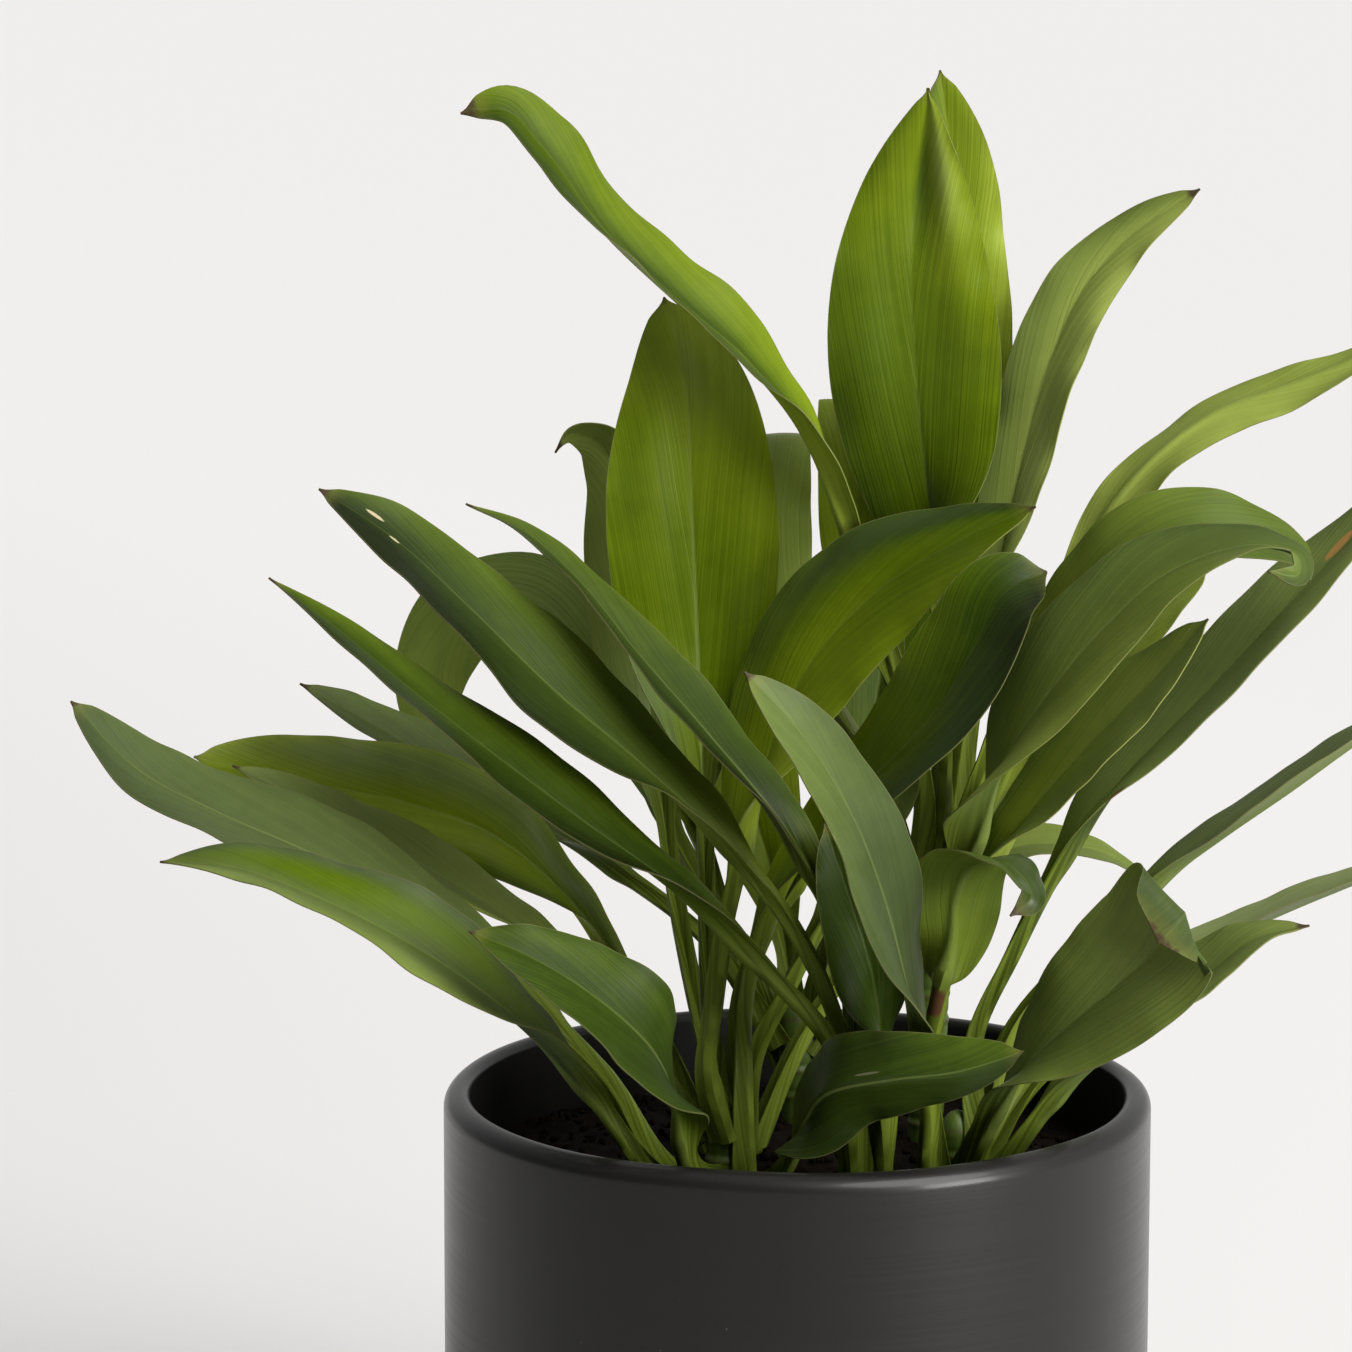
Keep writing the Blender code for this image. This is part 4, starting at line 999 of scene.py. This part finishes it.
def leaf_surface(leaf, number):
    """The upper face in mm, its guide normals, the length share, blade share, half width, length.

    The half width runs from the sheath to the narrow stalk, then opens as b^p (1-b)^q along the
    blade, and ends in a fine cusp. Each half rises from the midrib by the fold, less towards the
    edge, over a soft bend. The edges ripple as a sum of sines whose phases are the leaf's own draw,
    the midrib lies in a fine groove, and the leaf's own dents are added."""
    share = np.concatenate([np.linspace(0.0, leaf.stalk, ROWS_STALK)[:-1],
                            1.0 - (1.0 - leaf.stalk) * np.linspace(1.0, 0.0, ROWS_BLADE) ** 1.2])
    line, normal, side, length = leaf_frames(leaf)
    place = np.linspace(0.0, 1.0, FINE)

    def at(field):
        return np.stack([np.interp(share, place, field[:, k]) for k in range(3)], axis=1)[:, None, :]

    blade = np.clip((share - leaf.stalk) / (1 - leaf.stalk), 0.0, 1.0)
    opening, closing = leaf.shape
    peak = opening / (opening + closing)
    open_width = (blade**opening * (1 - blade)**closing
                  / (peak**opening * (1 - peak)**closing)) * leaf.width
    stalk_width = STALK_WIDTH + (SHEATH_WIDTH - STALK_WIDTH) * (1 - smooth_step(share / SHEATH_LENGTH))
    stalk_width = stalk_width + (TIP_WIDTH - stalk_width) * smooth_step((blade - 0.1) / 0.9)
    stalk_width = stalk_width + SHEATH_FLARE * (1 - smooth_step(share * length / FLARE_LENGTH))
    half = np.sqrt(open_width**2 + stalk_width**2) / 2
    from_tip = (1 - share) * length
    half = (CUSP_HALF + (half - CUSP_HALF) * smooth_step(0.25 + 0.75 * from_tip / CUSP_LENGTH))[:, None]
    fold = np.radians(leaf.fold + (STALK_FOLD - leaf.fold) * (1 - smooth_step(blade / 0.35)))[:, None]
    b = blade[:, None]
    a = ACROSS[None, :]
    soft = 0.01 + RIB_SOFT * smooth_step(b / 0.3)
    book = (np.sqrt(a**2 + soft**2) - soft) / (np.sqrt(1 + soft**2) - soft)
    rise = half * np.sin(fold) * book * (1.25 - 0.45 * np.abs(a))
    calm = smooth_step(b / 0.2) * smooth_step((1 - b) / 0.2)
    ripple = leaf.wave * np.sin(2 * math.pi * (2.2 * b + 0.18 * np.sign(a))) * a**2 * calm
    phase = np.random.default_rng(number).uniform(0.0, 2 * math.pi, 6)
    side_phase = np.where(a < 0, phase[0], phase[1])
    ripple += 0.30 * leaf.wave * np.sin(2 * math.pi * 5.3 * b + side_phase) * np.abs(a)**3 * calm
    ripple += 0.14 * leaf.wave * np.sin(2 * math.pi * 9.1 * b + 2.1 * side_phase) * np.abs(a)**4 * calm
    ripple += 0.5 * np.sin(2 * math.pi * (1.3 * b + 0.3 * a) + phase[2]) * np.abs(a) * calm
    groove = RIB_GROOVE * np.exp(-(a * half / 0.9)**2) * smooth_step(b / 0.1) * (1 - b)**0.5
    lift = rise + ripple - groove + marks(DENTS, leaf.name, a, b)
    points = (at(line) + at(side) * (half * np.cos(fold) * a)[:, :, None]
              + at(normal) * lift[:, :, None])
    if leaf.height < LOW_SEAT:
        points[..., 2] -= FOOT_SINK * (1 - smooth_step(share * length / FOOT_LENGTH))[:, None]
    return points, at(normal), share, blade, half, length


def leaf_thickness(blade, half):
    """Thickness in mm: the web and edge, the ridge under the midrib, and the solid stalk."""
    b = blade[:, None]
    a = np.abs(ACROSS)[None, :]
    web = WEB_THICK + (EDGE_THICK - WEB_THICK) * a
    stalk = (STALK_THICK - WEB_THICK) * (1 - a)**1.3 * (1 - smooth_step(b / 0.22))
    ridge = RIB_RIDGE * np.exp(-(a * half / 1.5)**2) * smooth_step(b / 0.08) * (1 - b)**0.8
    return web + stalk + ridge


def body_faces(rows, columns):
    """Faces of a thin body: the upper grid, the lower one turned over, and the strip round them."""
    upper = grid_faces(rows, columns)
    lower = upper[:, ::-1] + rows * columns
    below = rows * columns
    left = np.arange(rows - 1) * columns
    right = left + columns - 1
    start = np.arange(columns - 1)
    end = start + (rows - 1) * columns
    strips = [np.stack([right, right + below, right + columns + below, right + columns], axis=1),
              np.stack([left, left + columns, left + columns + below, left + below], axis=1),
              np.stack([start, start + below, start + 1 + below, start + 1], axis=1),
              np.stack([end, end + 1, end + 1 + below, end + below], axis=1)]
    return np.concatenate([upper, lower] + strips)


BOX_LOW = np.array(packed_box[0]) / MM + BOX_INSET
BOX_HIGH = np.array(packed_box[1]) / MM - BOX_INSET


def stacked(parts, shape):
    """Numbers and arrays spread over a grid and joined into one vector for each of its points."""
    return np.stack([np.broadcast_to(part, shape) for part in parts], axis=-1).reshape(-1, 3)


def leaf_body(leaf, number):
    """All points of a leaf, and the values that its finish reads at each of them."""
    upper, guide, share, blade, half, length = leaf_surface(leaf, number)
    down = np.cross(np.gradient(upper, axis=1), np.gradient(upper, axis=0))
    down = -unit(down + guide * 1e-6)
    lower = upper + down * leaf_thickness(blade, half)[:, :, None]
    tone = TONES[leaf.name]
    across = ACROSS[None, :]
    run = np.where(share < leaf.stalk, share / leaf.stalk - 1.0, blade)[:, None]
    # Painted light and shade: one half brighter, a run from stalk to tip and the leaf's painted marks.
    painted_light_and_shade = tone.lean * across + tone.run * (blade[:, None] - 0.5) + marks(PAINTED_LIGHT_MARKS, leaf.name, across, run)
    # Painted grey sheen.
    bloom = np.clip(tone.bloom + marks(PAINTED_SHEEN_MARKS, leaf.name, across, run), 0.0, 1.0)
    sheen = SHEEN.get(leaf.name, PLAIN_SHEEN)
    faces = [{"place": (across, run, under),
              "reach": (half, (1 - share)[:, None] * length, number * DRAW_STEP),
              "tone": (level + painted_light_and_shade, tone.rib, tone.dry),
              "bloom": (bloom, sheen, 0.0)} for under, level in ((0.0, tone.upper), (1.0, tone.under))]
    shape = upper.shape[:2]
    values = {key: np.concatenate([stacked(face[key], shape) for face in faces]) for key in faces[0]}
    points = np.concatenate([upper.reshape(-1, 3), lower.reshape(-1, 3)])
    return np.clip(points, BOX_LOW, BOX_HIGH), shape, values


print("points on each face of a leaf:", len(ACROSS) * (ROWS_STALK - 1 + ROWS_BLADE))

# %% [markdown]
# ## The leaf's greens
# Green comes from a ramp from dark to yellow green. Where a point lies on it depends on the leaf's
# own tone with its painted light and shade, on streaks that follow the veins, and on wide soft
# clouds. The veins leave the midrib at a small angle and run out to the margin, so the noise is
# stretched along that slant. A painted grey sheen, standing in for the reflection of the bright
# room, is mixed over the green.

# %% Greens and veins
GREENS = [(0.0, (0.0050, 0.0095, 0.0003)), (0.25, (0.0215, 0.0420, 0.0005)), (0.5, (0.0690, 0.1100, 0.0012)),
          (0.75, (0.1530, 0.2150, 0.0040)), (1.0, (0.3150, 0.3950, 0.0350))]
VEIN_SLANT = 0.13

foliage = Finish("leaf_surface", Metallic=0.0, Specular_IOR_Level=0.06, Coat_Roughness=0.28, Coat_IOR=1.4)
across, run, under = foliage.spread("place")
half_width, from_tip, draw_number = foliage.spread("reach")
# The tone's first number is the leaf's brightness with its painted light and shade.
bright, rib_share, dry_length = foliage.spread("tone")
bloom, gloss, _ = foliage.spread("bloom")
spot = foliage.place()
on_blade = foliage.step(run, 0.0, 0.22)
off_rib = across.size() * half_width
vein = off_rib + from_tip * VEIN_SLANT
side_draw = draw_number + maths("SIGN", across) * 2.0
wide_veins = foliage.noise(foliage.vector(vein * 0.28, from_tip * 0.006, side_draw), 1.0, 1.0)
veins = foliage.noise(foliage.vector(vein * 1.0, from_tip * 0.008, side_draw + 5.0), 1.0, 0.0)
veins = foliage.step(veins, 0.30, 0.70)
fine_veins = foliage.noise(foliage.vector(vein * 2.4, from_tip * 0.012, side_draw + 3.0), 1.0, 0.0)
clouds = foliage.noise(foliage.vector(across * 1.1, from_tip * 0.016, draw_number + 9.0), 1.0, 1.0)
mottle = foliage.noise(spot, 160.0, 3.0)
level = (bright + (wide_veins - 0.5) * 0.075 + (veins - 0.5) * 0.03 + (fine_veins - 0.5) * 0.055
         + (clouds - 0.5) * 0.20 + (mottle - 0.5) * 0.08).held()
blade_green = foliage.ramp(level, GREENS)
stalk_green = foliage.mix((bright * 0.6 + veins * 0.4).held(), (0.022, 0.037, 0.001), (0.158, 0.210, 0.024))
green = foliage.mix(on_blade, stalk_green, blade_green)
# Painted sheen: a grey mixed over the blade where it would mirror the bright room.
grey = foliage.mix(level, (0.030, 0.040, 0.018), (0.200, 0.240, 0.120))
green = foliage.mix(bloom * on_blade, green, grey)
print("greens on the ramp:", len(GREENS))

# %% [markdown]
# ## Midrib, margin and dried tip
# The midrib is a pale line that thins towards the tip, and the margin a hair of straw colour. The
# tip has dried brown, with a yellowed stretch behind it. The border between them is ragged, because
# it dries along some veins faster than along others.

# %% Midrib, margin and tip
rib_width = 0.30 + (1.0 - run.held()) * 0.9
rib_line = 1.0 - foliage.step(off_rib, rib_width * 0.4, rib_width)
rib_fade = foliage.step(run, -0.2, 0.1) * (1.0 - run.held() * 0.75) * (1.0 - under * 0.3)
green = foliage.mix(rib_line * rib_share * rib_fade, green, (0.200, 0.260, 0.070))
edge = half_width - off_rib
margin = 1.0 - foliage.step(edge + (mottle - 0.5) * 0.25, 0.10, 0.36)
green = foliage.mix(margin * 0.40 * on_blade, green, (0.170, 0.160, 0.070))
dry_edge = from_tip - dry_length + (foliage.noise(spot, 420.0, 2.0) - 0.5) * 4.0
has_dry = foliage.step(dry_length, 0.1, 0.5)
dried = (1.0 - foliage.step(dry_edge, -1.0, 1.2)) * has_dry
yellowed = (1.0 - foliage.step(dry_edge, 0.0, 7.0)) * has_dry
green = foliage.mix(yellowed * 0.30, green, (0.150, 0.150, 0.030))
green = foliage.mix(dried * 0.92, green, (0.050, 0.032, 0.018))
print("the tips dry over", max(tone.dry for tone in TONES.values()), "mm at most")

# %% [markdown]
# ## Scars
# A few blades are hurt: two slits, a dry streak, nicks. Each scar is an oval with a ragged edge. Its
# place is mm to the side of the midrib and mm from the tip, then half its width and half its length.

# %% Scars, gloss and relief
Scar = namedtuple("Scar", "leaf aside from_tip half_wide half_long colour")
CREAM = (0.48, 0.40, 0.25)
SCARS = [
    Scar("b02", 3.3, 20.0, 0.65, 3.6, CREAM),
    Scar("b02", -0.4, 30.0, 0.55, 2.2, CREAM),
    Scar("d02", -1.3, 40.3, 1.3, 7.5, (0.38, 0.20, 0.06)),
    Scar("d02", 10.6, 153.0, 1.1, 5.0, (0.10, 0.055, 0.025)),
    Scar("d01", 0.6, 101.0, 1.2, 7.0, (0.085, 0.030, 0.018)),
    Scar("a09", -3.6, 53.0, 0.45, 5.0, (0.13, 0.14, 0.07)),
]
NUMBERS = {leaf.name: number for number, leaf in enumerate(LEAVES, 1)}

wobble = (foliage.noise(spot, 700.0, 2.0) - 0.5) * 0.8
for scar in SCARS:
    aside = (across * half_width - scar.aside) * (1.0 / scar.half_wide)
    along = (from_tip - scar.from_tip) * (1.0 / scar.half_long)
    inside = 1.0 - foliage.step(aside * aside + along * along + wobble, 0.6, 1.1)
    other = foliage.step((draw_number - NUMBERS[scar.leaf] * DRAW_STEP).size(), 0.5, 1.0)
    green = foliage.mix(inside * (1.0 - other) * 0.9, green, scar.colour)
foliage.colour(green)
foliage.roughness(0.40 + under * 0.10 + (mottle - 0.5) * 0.10 + (veins - 0.5) * 0.08 + dried * 0.25)
put(foliage.shader.inputs["Coat Weight"], gloss * (1.0 - under * 0.6) * (0.6 + fine_veins * 0.8))
foliage.bump(fine_veins * 0.00009 + veins * 0.00006 + mottle * 0.00003)
print("scars:", len(SCARS))

# %% [markdown]
# ## Leaves in their places
# Each row of the table becomes one closed body that takes the place of its node. Edges sharper than
# fifty degrees stay crisp, which keeps the thin margin from being shaded as if it were round.

# %% Make the leaves
for leaf in LEAVES:
    points, shape, values = leaf_body(leaf, NUMBERS[leaf.name])
    make_piece("foliage_" + leaf.name, points, body_faces(*shape), "leaf_" + leaf.name, foliage,
               values, sharp=50.0)
print("leaves made:", len(LEAVES), "with", 2 * shape[0] * shape[1], "points each")
